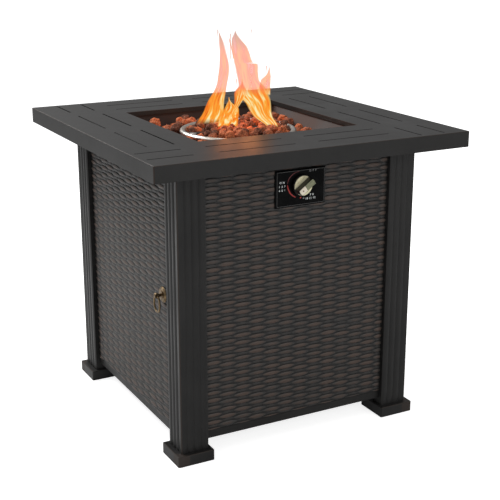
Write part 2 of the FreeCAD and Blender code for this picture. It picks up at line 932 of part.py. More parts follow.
def gas_valve():
    z = control_height
    half_w = valve_flange_width / 2
    half_h = valve_flange_height / 2
    flange = box(-half_w, half_w, -valve_front, -valve_front + valve_flange, z - half_h, z + half_h)
    flange = flange.makeFillet(valve_flange_corner,
                               [edge for edge in flange.Edges if edge.BoundBox.YLength > past])
    body = rod(valve_radius, (0, -valve_front + weld_lap, z), (0, -valve_rear, z))
    neck = rod(valve_neck_radius - valve_neck_play, (0, -valve_front + weld_lap, z),
               (0, -panel_face + valve_neck_setback, z))
    outlet_boss = rod(flare_radius, (0, -valve_rear - weld_lap, z), (0, -flare_end, z))
    unit_front = -valve_front + valve_flange
    unit = rod(side_unit_radius, (-probe_x, unit_front, z), (-probe_x, -side_unit_back, z))
    clip_start = unit_front + side_clip_length / 2
    clip = rod(side_unit_radius + side_clip_wall, (igniter_x, clip_start, z),
               (igniter_x, clip_start + side_clip_length, z))
    drop_y = -inlet_y
    boss_low = z - inlet_boss_length
    inlet_boss = rod(inlet_boss_radius, (0, drop_y, z), (0, drop_y, boss_low))
    shape = joined(flange, body, neck, outlet_boss, unit, clip, inlet_boss)
    stem_end = -(valve_front - valve_flange - stem_in_valve)
    stem_bore = rod(stem_radius + running, (0, -panel_face - past, z), (0, stem_end + push_travel + past, z))
    chamber = rod(collar_radius + collar_room, (0, -collar_front - collar_room, z),
                  (0, -collar_front + collar_thickness + push_travel + collar_room, z))
    outlet = rod(gas_bore_radius, (0, -flare_end + past, z), (0, -flare_end - flare_length, z))
    socket = rod(inlet_socket_radius + running, (0, drop_y, boss_low - past),
                 (0, drop_y, boss_low + inlet_socket_depth))
    seat = rod(side_unit_radius + running, (igniter_x, unit_front, z), (igniter_x, -side_unit_back, z))
    tools = [stem_bore, chamber, outlet, socket, seat]
    for height in valve_screw_heights():
        tools.append(screw_hole((0, -valve_front, height), (0, 1, 0), valve_flange + past))
    return cut(shape, *tools)


def gas_inlet():
    y = -inlet_y
    seat = control_height - inlet_boss_length
    hex_low = seat - inlet_hex_height
    thread = rod(inlet_socket_radius, (0, y, seat), (0, y, seat + inlet_socket_depth))
    body = hexagon(inlet_hex, (0, y, hex_low), (0, y, seat))
    flare = rod(inlet_thread_radius, (0, y, hex_low - inlet_thread_length), (0, y, hex_low))
    bore = rod(gas_bore_radius, (0, y, 0), (0, y, seat + inlet_socket_depth + past))
    return cut(joined(thread, body, flare), bore)


def piezo_igniter():
    front = -valve_front + valve_flange
    x = igniter_x
    shell = rod(side_unit_radius, (x, front, control_height), (x, -side_unit_back, control_height))
    return shell.makeFillet(igniter_edge_radius, far_rim(shell, -side_unit_back))


def lead_path(x, start_y, end_z):
    # straight back from the valve, then one bend up through the pan floor
    turn_y = -probe_offset - lead_bend_radius
    low = control_height
    bend = lead_bend_radius * (1 - math.cos(math.pi / 4))
    a = Vector(x, start_y, low)
    b = Vector(x, turn_y, low)
    middle = Vector(x, -probe_offset - bend, low + bend)
    c = Vector(x, -probe_offset, low + lead_bend_radius)
    d = Vector(x, -probe_offset, end_z)
    edges = [Part.LineSegment(a, b).toShape(), Part.Arc(b, middle, c).toShape(),
             Part.LineSegment(c, d).toShape()]
    return Part.Wire(edges)


def lead(x, radius, start_y, end_z):
    path = lead_path(x, start_y, end_z)
    ring = Part.Wire([Part.makeCircle(radius, Vector(x, start_y, control_height), Vector(0, 1, 0))])
    return path.makePipeShell([ring], True, False)


def ignition_wire():
    return lead(igniter_x, wire_radius, -side_unit_back, bracket_top - probe_below_bracket)


def spark_electrode():
    x = igniter_x
    y = -probe_offset
    low = bracket_top - probe_below_bracket
    high = pan_floor + probe_top - electrode_tip
    ceramic = rod(electrode_radius, (x, y, low), (x, y, high))
    shoulder = rod(electrode_radius + electrode_shoulder, (x, y, bracket_top),
                   (x, y, bracket_top + electrode_shoulder_height))
    tip = rod(electrode_tip_radius, (x, y, high), (x, y, high + electrode_tip))
    return joined(ceramic, shoulder, tip)


def thermocouple():
    x = -probe_x
    low = bracket_top - probe_below_bracket
    tube = lead(x, lead_radius, -side_unit_back, low + probe_lead_lap)
    high = pan_floor + probe_top
    probe = rod(thermocouple_radius, (x, -probe_offset, low), (x, -probe_offset, high))
    cap = Part.makeSphere(thermocouple_radius, Vector(x, -probe_offset, high))
    return joined(tube, probe, cap)


def igniter_bracket():
    half = bracket_width / 2
    depth = bracket_depth / 2
    y0 = -probe_offset - depth
    y1 = -probe_offset + depth
    roof = box(-half, half, y0, y1, bracket_top - bracket_sheet, bracket_top)
    pieces = []
    for side in (-1, 1):
        wall = sorted((side * half, side * (half - bracket_sheet)))
        foot_span = sorted((side * (half - bracket_sheet), side * (half + bracket_foot)))
        pieces.append(box(wall[0], wall[1], y0, y1, pan_floor, bracket_top))
        pieces.append(box(foot_span[0], foot_span[1], y0, y1, pan_floor, pan_floor + bracket_sheet))
    electrode = rod(electrode_radius + running, (igniter_x, -probe_offset, pan_floor),
                    (igniter_x, -probe_offset, bracket_top + past))
    probe = rod(thermocouple_radius + running, (-probe_x, -probe_offset, pan_floor),
                (-probe_x, -probe_offset, bracket_top + past))
    return cut(joined(roof, *pieces), electrode, probe)


def gas_tube():
    # straight in both flare nuts, and bent between them where valve and burner stand at two heights
    start = Vector(0, -flare_end, control_height)
    end = Vector(0, -injector_front, feed_height)
    straight = Vector(0, flare_nut_tail + tube_straight, 0)
    lean = Vector(0, (end.y - start.y) / 2 - straight.y, 0)
    curve = Part.BezierCurve()
    curve.setPoles([start + straight, start + straight + lean, end - straight - lean, end - straight])
    path = Part.Wire([Part.LineSegment(start, start + straight).toShape(), curve.toShape(),
                      Part.LineSegment(end - straight, end).toShape()])
    skins = []
    for radius in (gas_tube_radius, gas_bore_radius):
        ring = Part.Wire([Part.makeCircle(radius, start, Vector(0, 1, 0))])
        skins.append(path.makePipeShell([ring], True, False))
    return skins[0].cut(skins[1])


def flare_nut(seat, way, z):
    # seat is the end face of the male flare, way points from the flare to the tube
    body = hexagon(flare_nut_hex, (0, seat - way * flare_nut_grip, z), (0, seat + way * flare_nut_tail, z))
    wide = rod(flare_radius + running, (0, seat - way * (flare_nut_grip + past), z), (0, seat, z))
    narrow = rod(gas_tube_radius + running, (0, seat - way, z), (0, seat + way * (flare_nut_tail + past), z))
    return cut(body, wide, narrow)


def flare_nuts():
    return Part.makeCompound([flare_nut(-flare_end, 1, control_height),
                              flare_nut(-injector_front, -1, feed_height)])


def gas_injector():
    z = feed_height
    seat = -mixer_front
    thread = rod(injector_thread_radius, (0, seat, z), (0, seat + injector_thread_length, z))
    body = hexagon(injector_hex, (0, seat - injector_hex_length, z), (0, seat, z))
    flare = rod(flare_radius, (0, -injector_front, z), (0, seat - injector_hex_length, z))
    bore = rod(gas_bore_radius, (0, -injector_front - past, z), (0, seat + injector_thread_length / 2, z))
    jet = rod(jet_radius, (0, seat, z), (0, seat + injector_thread_length + past, z))
    return cut(joined(thread, body, flare), bore, jet)


def air_mixer():
    z = feed_height
    back = -(elbow_out - socket_depth)
    tube = rod(pipe_radius, (0, back, z), (0, -mixer_front, z))
    bore = rod(pipe_bore_radius, (0, back + past, z), (0, -mixer_front + mixer_end, z))
    thread = rod(injector_thread_radius + running, (0, -mixer_front - past, z),
                 (0, -mixer_front + mixer_end + past, z))
    slot_near = -mixer_front + mixer_end + air_slot_setback
    slot_far = slot_near + air_slot_length
    half = air_slot_width / 2
    reach = pipe_radius + past
    flat = box(-reach, reach, slot_near, slot_far, z - half, z + half)
    tall = box(-half, half, slot_near, slot_far, z - reach, z + reach)
    return cut(tube, bore, thread, flat, tall)


def burner_elbow():
    z = feed_height
    up = rod(elbow_radius, (0, 0, z), (0, 0, z + elbow_up))
    out = rod(elbow_radius, (0, 0, z), (0, -elbow_out, z))
    ball = Part.makeSphere(elbow_radius, Vector(0, 0, z))
    shape = joined(up, out, ball)
    tools = [rod(pipe_bore_radius, (0, 0, z), (0, 0, z + elbow_up + past)),
             rod(pipe_bore_radius, (0, 0, z), (0, -elbow_out - past, z)),
             Part.makeSphere(pipe_bore_radius, Vector(0, 0, z)),
             rod(pipe_radius + running, (0, 0, z + elbow_up - socket_depth), (0, 0, z + elbow_up + past)),
             rod(pipe_radius + running, (0, -elbow_out + socket_depth, z), (0, -elbow_out - past, z))]
    return cut(shape, *tools)


def nipple_ends():
    low = feed_height + elbow_up - socket_depth
    high = ring_height - hub_below_ring + socket_depth
    return low, high


def burner_nipple():
    low, high = nipple_ends()
    tube = rod(pipe_radius, (0, 0, low), (0, 0, high))
    return cut(tube, rod(pipe_bore_radius, (0, 0, low - past), (0, 0, high + past)))


def burner_locknuts():
    nuts = []
    for low, high in ((pan_floor, pan_floor + locknut_height), (pan_under - locknut_height, pan_under)):
        body = hexagon(locknut_hex, (0, 0, low), (0, 0, high))
        nuts.append(cut(body, rod(pipe_radius + running, (0, 0, low - past), (0, 0, high + past))))
    return Part.makeCompound(nuts)


def burner_ring():
    z = ring_height
    r = ring_tube_radius
    inner = r - ring_wall
    hub_low = z - hub_below_ring
    hub_top = z + hub_above_ring
    outside = joined(Part.makeTorus(ring_radius, r, Vector(0, 0, z), Vector(0, 0, 1)),
                     rod(r, (-ring_radius, 0, z), (ring_radius, 0, z)),
                     rod(hub_radius, (0, 0, hub_low), (0, 0, hub_top)))
    socket_top = hub_low + socket_depth
    tools = [Part.makeTorus(ring_radius, inner, Vector(0, 0, z), Vector(0, 0, 1)),
             rod(inner, (-ring_radius, 0, z), (ring_radius, 0, z)),
             rod(pipe_radius + running, (0, 0, hub_low - past), (0, 0, socket_top)),
             rod(pipe_bore_radius, (0, 0, hub_low), (0, 0, hub_top - hub_cap))]
    for index in range(port_count):
        turn = math.radians(360 * (index + 0.5) / port_count)
        x = ring_radius * math.cos(turn)
        y = ring_radius * math.sin(turn)
        tools.append(rod(port_radius, (x, y, z), (x, y, z + r + past)))
    hollow = tools[0].multiFuse(tools[1:])
    return outside.cut(hollow)


def burner_supports():
    posts = []
    for index in range(support_count):
        turn = 360 * (index + 0.5) / support_count
        half = support_width / 2
        top = ring_height - ring_tube_radius
        strip = box(ring_radius - support_sheet / 2, ring_radius + support_sheet / 2, -half, half,
                    pan_floor, top)
        foot_plate = box(ring_radius - support_foot / 2, ring_radius + support_foot / 2, -half, half,
                         pan_floor, pan_floor + support_sheet)
        post = joined(strip, foot_plate)
        post.rotate(Vector(0, 0, 0), Vector(0, 0, 1), turn)
        posts.append(post)
    return Part.makeCompound(posts)


def standoff_spots():
    half = standoff_spacing / 2
    return [(x * half, y * half) for x, y in quarter_spots()]


def fire_pan():
    grow = pan_sheet
    outer = bowl(pan_top_half + grow, pan_floor_half + grow, pan_top_corner + grow, pan_floor_corner + grow,
                 pan_under, pan_neck_low)
    outer_neck = upright_square(pan_top_half + grow, pan_top_corner + grow, pan_neck_low, sheet_under)
    flange = upright_square(pan_top_half + pan_flange, pan_top_corner, sheet_under - pan_sheet, sheet_under)
    inner = bowl(pan_top_half, pan_floor_half, pan_top_corner, pan_floor_corner, pan_floor, pan_neck_low)
    inner_neck = upright_square(pan_top_half, pan_top_corner, pan_neck_low, sheet_under)
    shape = cut(joined(outer, outer_neck, flange), joined(inner, inner_neck))
    tools = [rod(pipe_radius + bolt_play, (0, 0, pan_under - past), (0, 0, pan_floor + past))]
    for spot in stud_spots():
        tools.append(bolt_hole(spot, (0, 0, 1), hole_reach))
    for x, y in standoff_spots():
        tools.append(bolt_hole((x, y, pan_floor), (0, 0, 1), hole_reach))
    for x, y in quarter_spots():
        spot = (x * drain_spacing / 2, y * drain_spacing / 2)
        tools.append(rod(drain_radius, (*spot, pan_under - past), (*spot, pan_floor + past)))
    for x in (igniter_x, -probe_x):
        tools.append(rod(lead_hole_radius, (x, -probe_offset, pan_under - past),
                         (x, -probe_offset, pan_floor + past)))
    return cut(shape, *tools)


def heat_shield():
    half = shield_side / 2
    plate = box(-half, half, -half, half, shield_top - shield_edge, shield_top)
    inner = half - shield_sheet
    hollow = box(-inner, inner, -inner, inner, shield_top - shield_edge - past, shield_top - shield_sheet)
    tools = [hollow]
    for x, y in standoff_spots():
        tools.append(bolt_hole((x, y, shield_top), (0, 0, 1), hole_reach))
    return cut(plate, *tools)


def shield_standoffs():
    rods = []
    for x, y in standoff_spots():
        column = hexagon(standoff_hex, (x, y, shield_top), (x, y, pan_under))
        stud = rod(bolt_radius, (x, y, shield_top - standoff_stud), (x, y, pan_under + standoff_stud))
        rods.append(joined(column, stud))
    return Part.makeCompound(rods)


def shelf_screw_offsets():
    return [-cleat_spacing / 2, cleat_spacing / 2]


def shelf_screw_height():
    return bottom_rail_low + bottom_rail_height / 2


def tank_shelf():
    half = bottom_rail_back
    plate = box(-half, half, -half, half, shelf_low, shelf_low + shelf_turn_up)
    inner = half - shelf_sheet
    hollow = box(-inner, inner, -inner, inner, shelf_top, shelf_low + shelf_turn_up + past)
    tools = [hollow, rod(shelf_hole_radius, (0, 0, 0), (0, 0, shelf_top + past))]
    for quarters in range(4):
        for offset in shelf_screw_offsets():
            hole = screw_hole((offset, -half, shelf_screw_height()), (0, 1, 0), shelf_sheet + past)
            tools.append(turned(hole, quarters))
    return cut(plate, *tools)


def tank_collar():
    ring = rod(collar_outer, (0, 0, shelf_top), (0, 0, shelf_top + collar_height))
    x_far = -collar_outer - clamp_bridge_reach
    half = clamp_bridge_width / 2
    low = clamp_z - clamp_bridge_height / 2
    high = clamp_z + clamp_bridge_height / 2
    x_near = -math.sqrt(collar_inner ** 2 - half ** 2) - clamp_bridge_sink
    bridge = box(x_far, x_near, -half, half, low, high)
    window = box(x_far + clamp_bridge_sheet, x_near + past, -half + clamp_bridge_sheet,
                 half - clamp_bridge_sheet, low - past, high + past)
    shape = joined(ring, cut(bridge, window))
    inside = rod(collar_inner, (0, 0, 0), (0, 0, shelf_top + collar_height + past))
    pad_hole = rod(clamp_pad_radius + clamp_pad_play, (x_far + clamp_bridge_sheet, 0, clamp_z),
                   (0, 0, clamp_z))
    thread = rod(clamp_screw_radius + running, (x_far - past, 0, clamp_z),
                 (x_far + clamp_bridge_sheet + past, 0, clamp_z))
    return cut(shape, inside, pad_hole, thread)


def clamp_pad():
    back = pad_tip - clamp_pad_thickness
    disc = rod(clamp_pad_radius, (back, 0, clamp_z), (pad_tip, 0, clamp_z))
    socket = rod(clamp_nose_radius + running, (back - past, 0, clamp_z),
                 (pad_tip - clamp_pad_web, 0, clamp_z))
    return cut(disc.makeFillet(clamp_pad_edge_radius, disc.Edges[:1]), socket)


def clamp_screw():
    shoulder = pad_tip - clamp_pad_thickness - clamp_end_play
    far = shoulder - clamp_screw_length
    nose_end = pad_tip - clamp_pad_web - clamp_end_play
    nose = rod(clamp_nose_radius, (shoulder - weld_lap, 0, clamp_z), (nose_end, 0, clamp_z))
    shank = rod(clamp_screw_radius, (far, 0, clamp_z), (shoulder, 0, clamp_z))
    head = rod(clamp_knob_radius, (far - clamp_knob_thickness, 0, clamp_z), (far, 0, clamp_z))
    scallops = []
    for index in range(clamp_knob_lobes):
        turn = math.radians(360 * (index + 0.5) / clamp_knob_lobes)
        reach = clamp_knob_radius + clamp_knob_scallop_offset
        y = reach * math.cos(turn)
        z = clamp_z + reach * math.sin(turn)
        scallops.append(rod(clamp_knob_scallop, (far - clamp_knob_thickness - past, y, z),
                            (far + past, y, z)))
    head = cut(head, *scallops)
    return joined(nose, shank, head)


def frame_bolts():
    bolts = []
    for quarters in range(4):
        for side in (-1, 1):
            for across, height in rail_bolt_spots():
                start = (side * (leg_inner + leg_sheet), -across, height)
                bolts.append(turned(hex_bolt(start, (-side, 0, 0)), quarters))
        for offset in cleat_offsets():
            start = (offset, -top_rail_face, cleat_bolt_height())
            bolts.append(turned(hex_bolt(start, (0, 1, 0)), quarters))
        spot = foot_bolt_spot()
        bolts.append(turned(hex_bolt((spot, spot, foot_height - foot_wall), (0, 0, 1)), quarters))
    return Part.makeCompound(bolts)


def frame_nuts():
    nuts = []
    for quarters in range(4):
        for side in (-1, 1):
            for across, height in rail_bolt_spots():
                start = (side * (leg_inner - rail_sheet), -across, height)
                nuts.append(turned(hex_nut(start, (-side, 0, 0)), quarters))
        for offset in cleat_offsets():
            start = (offset, -top_rail_face + 2 * rail_sheet, cleat_bolt_height())
            nuts.append(turned(hex_nut(start, (0, 1, 0)), quarters))
        spot = foot_bolt_spot()
        nuts.append(turned(hex_nut((spot, spot, foot_height + leg_plate), (0, 0, 1)), quarters))
    for spot in stud_spots():
        nuts.append(hex_nut((spot.x, spot.y, sheet_under - pan_sheet), (0, 0, -1)))
    for x, y in standoff_spots():
        nuts.append(hex_nut((x, y, pan_floor), (0, 0, 1)))
        nuts.append(hex_nut((x, y, shield_top - shield_sheet), (0, 0, -1)))
    return Part.makeCompound(nuts)


def sheet_screws():
    screws = []
    for quarters in range(3):
        for side in (-1, 1):
            for height in panel_screw_heights():
                start = (side * (leg_inner - panel_fold), -panel_screw_depth(), height)
                screws.append(turned(pan_screw(start, (side, 0, 0)), quarters))
    for quarters in range(4):
        for offset in shelf_screw_offsets():
            start = (offset, -bottom_rail_back + shelf_sheet, shelf_screw_height())
            screws.append(turned(pan_screw(start, (0, -1, 0)), quarters))
    for height in valve_screw_heights():
        screws.append(pan_screw((0, -plate_seat, height), (0, 1, 0)))
    return Part.makeCompound(screws)


def rock_ceiling(x, y):
    return total_height - (rock_pile_below_top if math.hypot(x, y) < ring_radius else rock_edge_below_top)


def rock_walls(stone, stones):
    # planes that a stone stays behind, each as the way to it and its distance
    x, y, z, size = stone
    walls = [(Vector(0, 0, -1), z - pan_floor - rock_touch), (Vector(0, 0, 1), rock_ceiling(x, y) - z)]
    outwards = ring_radius / math.hypot(x, y)
    tubes = [(x * outwards, y * outwards)]
    if abs(x) < ring_radius:
        tubes.append((x, 0))
    for to_x, to_y in tubes:
        way = Vector(to_x - x, to_y - y, ring_height - z)
        walls.append((way / way.Length, way.Length - ring_tube_radius - rock_ring_room))
    for other in stones:
        way = Vector(*other[:3]) - Vector(x, y, z)
        if 0 < way.Length < size + other[3] + rock_clearance:
            walls.append((way / way.Length, way.Length * size / (size + other[3]) - rock_clearance / 2))
    return walls


def rock(centre, size, walls, chance):
    # a lumpy stone from an icosahedron whose corners are pulled in by chance and by its neighbours
    golden = (1 + math.sqrt(5)) / 2
    corners = []
    for a in (-1, 1):
        for b in (-golden, golden):
            corners += [Vector(0, a, b), Vector(a, b, 0), Vector(b, 0, a)]
    spin = FreeCAD.Rotation(chance.uniform(0, 360), chance.uniform(0, 360), chance.uniform(0, 360))
    length = math.sqrt(1 + golden * golden)
    placed = []
    for corner in corners:
        way = spin.multVec(corner / length)
        reach = size * chance.uniform(rock_least_pull, 1.0)
        for normal, limit in walls:
            if way.dot(normal) * reach > limit:
                reach = limit / way.dot(normal)
        placed.append(Vector(*centre) + way * reach)
    faces = []
    for i, j, k in itertools.combinations(range(len(corners)), 3):
        sides = [(corners[a] - corners[b]).Length for a, b in ((i, j), (j, k), (i, k))]
        # neighbouring corners of this icosahedron lie 2 apart
        if max(sides) < golden + 0.5:
            loop = [placed[i], placed[j], placed[k], placed[i]]
            faces.append(Part.Face(Part.makePolygon(loop)))
    solid = Part.Solid(Part.Shell(faces))
    if solid.Volume < 0:
        solid.reverse()
    return solid


def things_on_the_floor():
    # centre, radius and top of everything upright that the stones lie around
    nut_reach = locknut_hex / math.sqrt(3)
    things = [(0, 0, nut_reach, pan_floor + locknut_height),
              (0, 0, hub_radius, ring_height + hub_above_ring)]
    for x, y in standoff_spots():
        things.append((x, y, bolt_hex / math.sqrt(3), pan_under + standoff_stud))
    for index in range(support_count):
        turn = math.radians(360 * (index + 0.5) / support_count)
        x = ring_radius * math.cos(turn)
        y = ring_radius * math.sin(turn)
        things.append((x, y, math.hypot(support_foot, support_width) / 2, pan_floor + support_sheet))
        things.append((x, y, math.hypot(support_sheet, support_width) / 2, ring_height))
    reach = bracket_width / 2 + bracket_foot - bracket_depth / 2
    for step in range(-2, 3):
        things.append((reach * step / 2, -probe_offset, bracket_depth / math.sqrt(2), bracket_top))
    for x in (igniter_x, -probe_x):
        probe_reach = electrode_radius + electrode_shoulder
        things.append((x, -probe_offset, probe_reach, pan_floor + probe_top + thermocouple_radius))
    return things


def stone_is_clear(x, y, z, size, stones, things):
    reach = size + rock_clearance
    nested = size * rock_nesting + rock_clearance
    slope = (pan_top_half - pan_floor_half) / (pan_neck_low - pan_floor)
    wall = pan_floor_half + slope * (z - pan_floor)
    room = wall - reach * math.sqrt(1 + slope * slope)
    round_corner = pan_floor_corner - (pan_floor_corner - pan_top_corner) * (z - pan_floor) / pan_depth
    flat = wall - round_corner
    if max(abs(x), abs(y)) > room:
        return False
    if min(abs(x), abs(y)) > flat and math.hypot(abs(x) - flat, abs(y) - flat) > room - flat:
        return False
    from_centre = math.hypot(x, y)
    if math.hypot(from_centre - ring_radius, z - ring_height) < nested + ring_tube_radius:
        return False
    if abs(x) < ring_radius and math.hypot(y, z - ring_height) < nested + ring_tube_radius:
        return False
    for other_x, other_y, radius, top in things:
        beside = max(math.hypot(x - other_x, y - other_y) - radius, 0)
        above = max(z - top, 0)
        if math.hypot(beside, above) < reach:
            return False
    for other_x, other_y, other_z, other in stones:
        apart = math.sqrt((x - other_x) ** 2 + (y - other_y) ** 2 + (z - other_z) ** 2)
        if apart < nested + other * rock_nesting - rock_touch:
            return False
    return True


def resting_height(x, y, size, stones, things):
    # the lowest height at which a stone of this size lies on the floor, the ring or other stones
    nested = size * rock_nesting + rock_clearance
    heights = [pan_floor + size * rock_nesting]
    close = nested + rock_largest
    stones = [stone for stone in stones if abs(stone[0] - x) < close and abs(stone[1] - y) < close]
    rests = [(math.hypot(x - a, y - b), nested + radius * rock_nesting, c) for a, b, c, radius in stones]
    rests.append((abs(math.hypot(x, y) - ring_radius), nested + ring_tube_radius, ring_height))
    if abs(x) < ring_radius:
        rests.append((abs(y), nested + ring_tube_radius, ring_height))
    for flat, touch, height in rests:
        if flat < touch:
            heights.append(height + math.sqrt(touch * touch - flat * flat) + rock_lift)
    for height in sorted(heights):
        if height + size * rock_nesting > rock_ceiling(x, y):
            return None
        if stone_is_clear(x, y, height, size, stones, things):
            return height
    return None


def dropped(size, spread, chance, stones, things):
    # the lowest of many places, or none
    best = None
    for _ in range(rock_tries):
        x = chance.uniform(-spread, spread)
        y = chance.uniform(-spread, spread)
        height = resting_height(x, y, size, stones, things)
        if height is not None and (best is None or height < best[2]):
            best = (x, y, height)
    return best


def rolled(spot, size, stones, things):
    # from there the stone rolls downhill in ever shorter steps
    step = rock_first_roll
    while step > rock_last_roll:
        x, y, height = spot
        for to_x, to_y in ((x + step, y), (x - step, y), (x, y + step), (x, y - step)):
            lower = resting_height(to_x, to_y, size, stones, things)
            if lower is not None and lower < spot[2] - rock_lift:
                spot = (to_x, to_y, lower)
        if spot[2] == height:
            step /= 2
    return spot


def lava_rocks():
    # stones dropped one by one, each where it comes to lie lowest, every other one inside the ring
    chance = random.Random(rock_seed)
    things = things_on_the_floor()
    stones = []
    for number in range(rock_count):
        size = chance.uniform(rock_smallest, rock_largest)
        spread = ring_radius if number % 2 else pan_top_half
        spot = dropped(size, spread, chance, stones, things)
        if spot is not None:
            stones.append((*rolled(spot, size, stones, things), size))
    return Part.makeCompound([rock(stone[:3], stone[3], rock_walls(stone, stones), chance)
                              for stone in stones])


def save(name, shape):
    shape.exportStep("parts/" + name + ".step")


def main():
    sides = ["front", "right", "rear", "left"]
    corners = ["front_left", "front_right", "rear_right", "rear_left"]
    save("tabletop", tabletop())
    for quarters, side in enumerate(sides):
        save("top_rail_" + side, turned(top_rail(), quarters))
        save("bottom_rail_" + side, turned(bottom_rail(), quarters))
    for quarters, corner in enumerate(corners):
        # the two left legs have no panel on the door side
        wall = leg(corner != "rear_left", corner != "front_left")
        save("leg_" + corner, turned(wall, quarters))
        save("foot_" + corner, turned(foot(), quarters))
    save("front_panel", front_panel())
    plain_panel = side_panel()
    save("right_panel", turned(plain_panel, 1))
    save("rear_panel", turned(plain_panel, 2))
    for name, maker in (("door", door), ("hinge_brackets", hinge_brackets), ("hinge_pins", hinge_pins),
                        ("hinge_washer", hinge_washer), ("catch_magnet", catch_magnet),
                        ("catch_strike", catch_strike), ("pull_rosette", pull_rosette),
                        ("pull_ring", pull_ring), ("pull_screw", pull_screw)):
        save(name, turned(maker(), 3))
    for maker in (control_plate, knob, valve_stem, push_collar, gas_valve, gas_inlet, piezo_igniter,
                  ignition_wire, spark_electrode, thermocouple, igniter_bracket, gas_tube, flare_nuts,
                  gas_injector, air_mixer, burner_elbow, burner_nipple, burner_locknuts, burner_ring,
                  burner_supports, fire_pan, heat_shield, shield_standoffs, tank_shelf, tank_collar,
                  clamp_pad, clamp_screw, frame_bolts, frame_nuts, sheet_screws, lava_rocks):
        save(maker.__name__, maker())


main()
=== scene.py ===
import json
import math
import random

import bmesh
import bpy
from mathutils import Matrix, Vector


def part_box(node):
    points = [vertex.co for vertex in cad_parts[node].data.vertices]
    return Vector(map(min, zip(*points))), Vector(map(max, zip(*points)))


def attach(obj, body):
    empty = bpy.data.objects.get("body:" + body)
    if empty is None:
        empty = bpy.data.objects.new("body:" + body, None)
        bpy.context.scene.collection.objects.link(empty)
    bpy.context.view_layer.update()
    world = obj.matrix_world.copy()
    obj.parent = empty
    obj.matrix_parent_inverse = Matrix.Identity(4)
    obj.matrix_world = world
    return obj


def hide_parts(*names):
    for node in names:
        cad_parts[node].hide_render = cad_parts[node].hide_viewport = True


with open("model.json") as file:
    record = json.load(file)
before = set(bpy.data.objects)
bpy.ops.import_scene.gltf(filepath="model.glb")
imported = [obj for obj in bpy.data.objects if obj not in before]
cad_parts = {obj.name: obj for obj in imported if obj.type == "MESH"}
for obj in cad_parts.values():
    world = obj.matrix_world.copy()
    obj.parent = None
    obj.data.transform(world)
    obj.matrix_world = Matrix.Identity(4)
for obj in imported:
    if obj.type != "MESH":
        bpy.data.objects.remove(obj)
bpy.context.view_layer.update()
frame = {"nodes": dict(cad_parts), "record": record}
nodes = frame["nodes"]
print("frame loaded:", len(nodes), "nodes")


# Small helpers for node trees

def feed(socket, value):
    # links the socket to another node's output, or sets its own value
    if isinstance(value, bpy.types.NodeSocket):
        socket.id_data.links.new(value, socket)
    elif value is not None:
        socket.default_value = value


def feedAll(node, values):
    for name, value in values.items():
        feed(node.inputs[name], value)


def addNode(tree, kind, inputs=None, **settings):
    node = tree.nodes.new(kind)
    for name, value in settings.items():
        setattr(node, name, value)
    feedAll(node, inputs or {})
    return node


def calculate(operation, *values, clamp=False):
    # a math node in the tree of the sockets that it works on
    tree = next(value.id_data for value in values if isinstance(value, bpy.types.NodeSocket))
    given = dict(enumerate(values))
    return addNode(tree, "ShaderNodeMath", given, operation=operation, use_clamp=clamp).outputs[0]


def plus(first, second):
    return calculate("ADD", first, second)


def minus(first, second):
    return calculate("SUBTRACT", first, second)


def times(first, second):
    return calculate("MULTIPLY", first, second)


def larger(first, second):
    return calculate("MAXIMUM", first, second)


def smaller(first, second):
    return calculate("MINIMUM", first, second)


def ramp(value, low, high, fromValue=0.0, toValue=1.0):
    # a straight or falling ramp between two values, held flat outside them
    given = dict(enumerate((value, low, high, fromValue, toValue)))
    return addNode(value.id_data, "ShaderNodeMapRange", given, clamp=True).outputs[0]


def splitXYZ(vector):
    return addNode(vector.id_data, "ShaderNodeSeparateXYZ", {0: vector}).outputs


def joinXYZ(tree, *values):
    return addNode(tree, "ShaderNodeCombineXYZ", dict(enumerate(values))).outputs[0]


def newGeometryTree(name, inputs):
    # returns the tree, the outputs of its input node and its position field
    tree = bpy.data.node_groups.new(name, "GeometryNodeTree")
    for label, kind in inputs.items():
        tree.interface.new_socket(name=label, in_out="INPUT", socket_type="NodeSocket" + kind)
    tree.interface.new_socket(name="Geometry", in_out="OUTPUT",
                              socket_type="NodeSocketGeometry")
    given = addNode(tree, "NodeGroupInput").outputs
    return tree, given, addNode(tree, "GeometryNodeInputPosition").outputs[0]


def endGeometryTree(tree, geometry, material):
    given = {"Geometry": geometry, "Material": material}
    painted = addNode(tree, "GeometryNodeSetMaterial", given)
    addNode(tree, "NodeGroupOutput", {"Geometry": painted.outputs["Geometry"]})
    return tree


def storedValue(tree, name, kind):
    return addNode(tree, "GeometryNodeInputNamedAttribute", {"Name": name},
                   data_type=kind).outputs["Attribute"]


def storeOnPoints(geometry, name, kind, value):
    given = {"Geometry": geometry, "Name": name, "Value": value}
    return addNode(geometry.id_data, "GeometryNodeStoreNamedAttribute", given,
                   data_type=kind, domain="POINT").outputs["Geometry"]


def movePoints(geometry, **place):
    given = {"Geometry": geometry, **place}
    return addNode(geometry.id_data, "GeometryNodeSetPosition", given).outputs["Geometry"]


def smoothShading(geometry):
    return addNode(geometry.id_data, "GeometryNodeSetShadeSmooth",
                   {"Geometry": geometry}).outputs["Geometry"]


# Small helpers for meshes and pieces

def newObject(name, data):
    item = bpy.data.objects.new(name, data)
    bpy.context.scene.collection.objects.link(item)
    return item


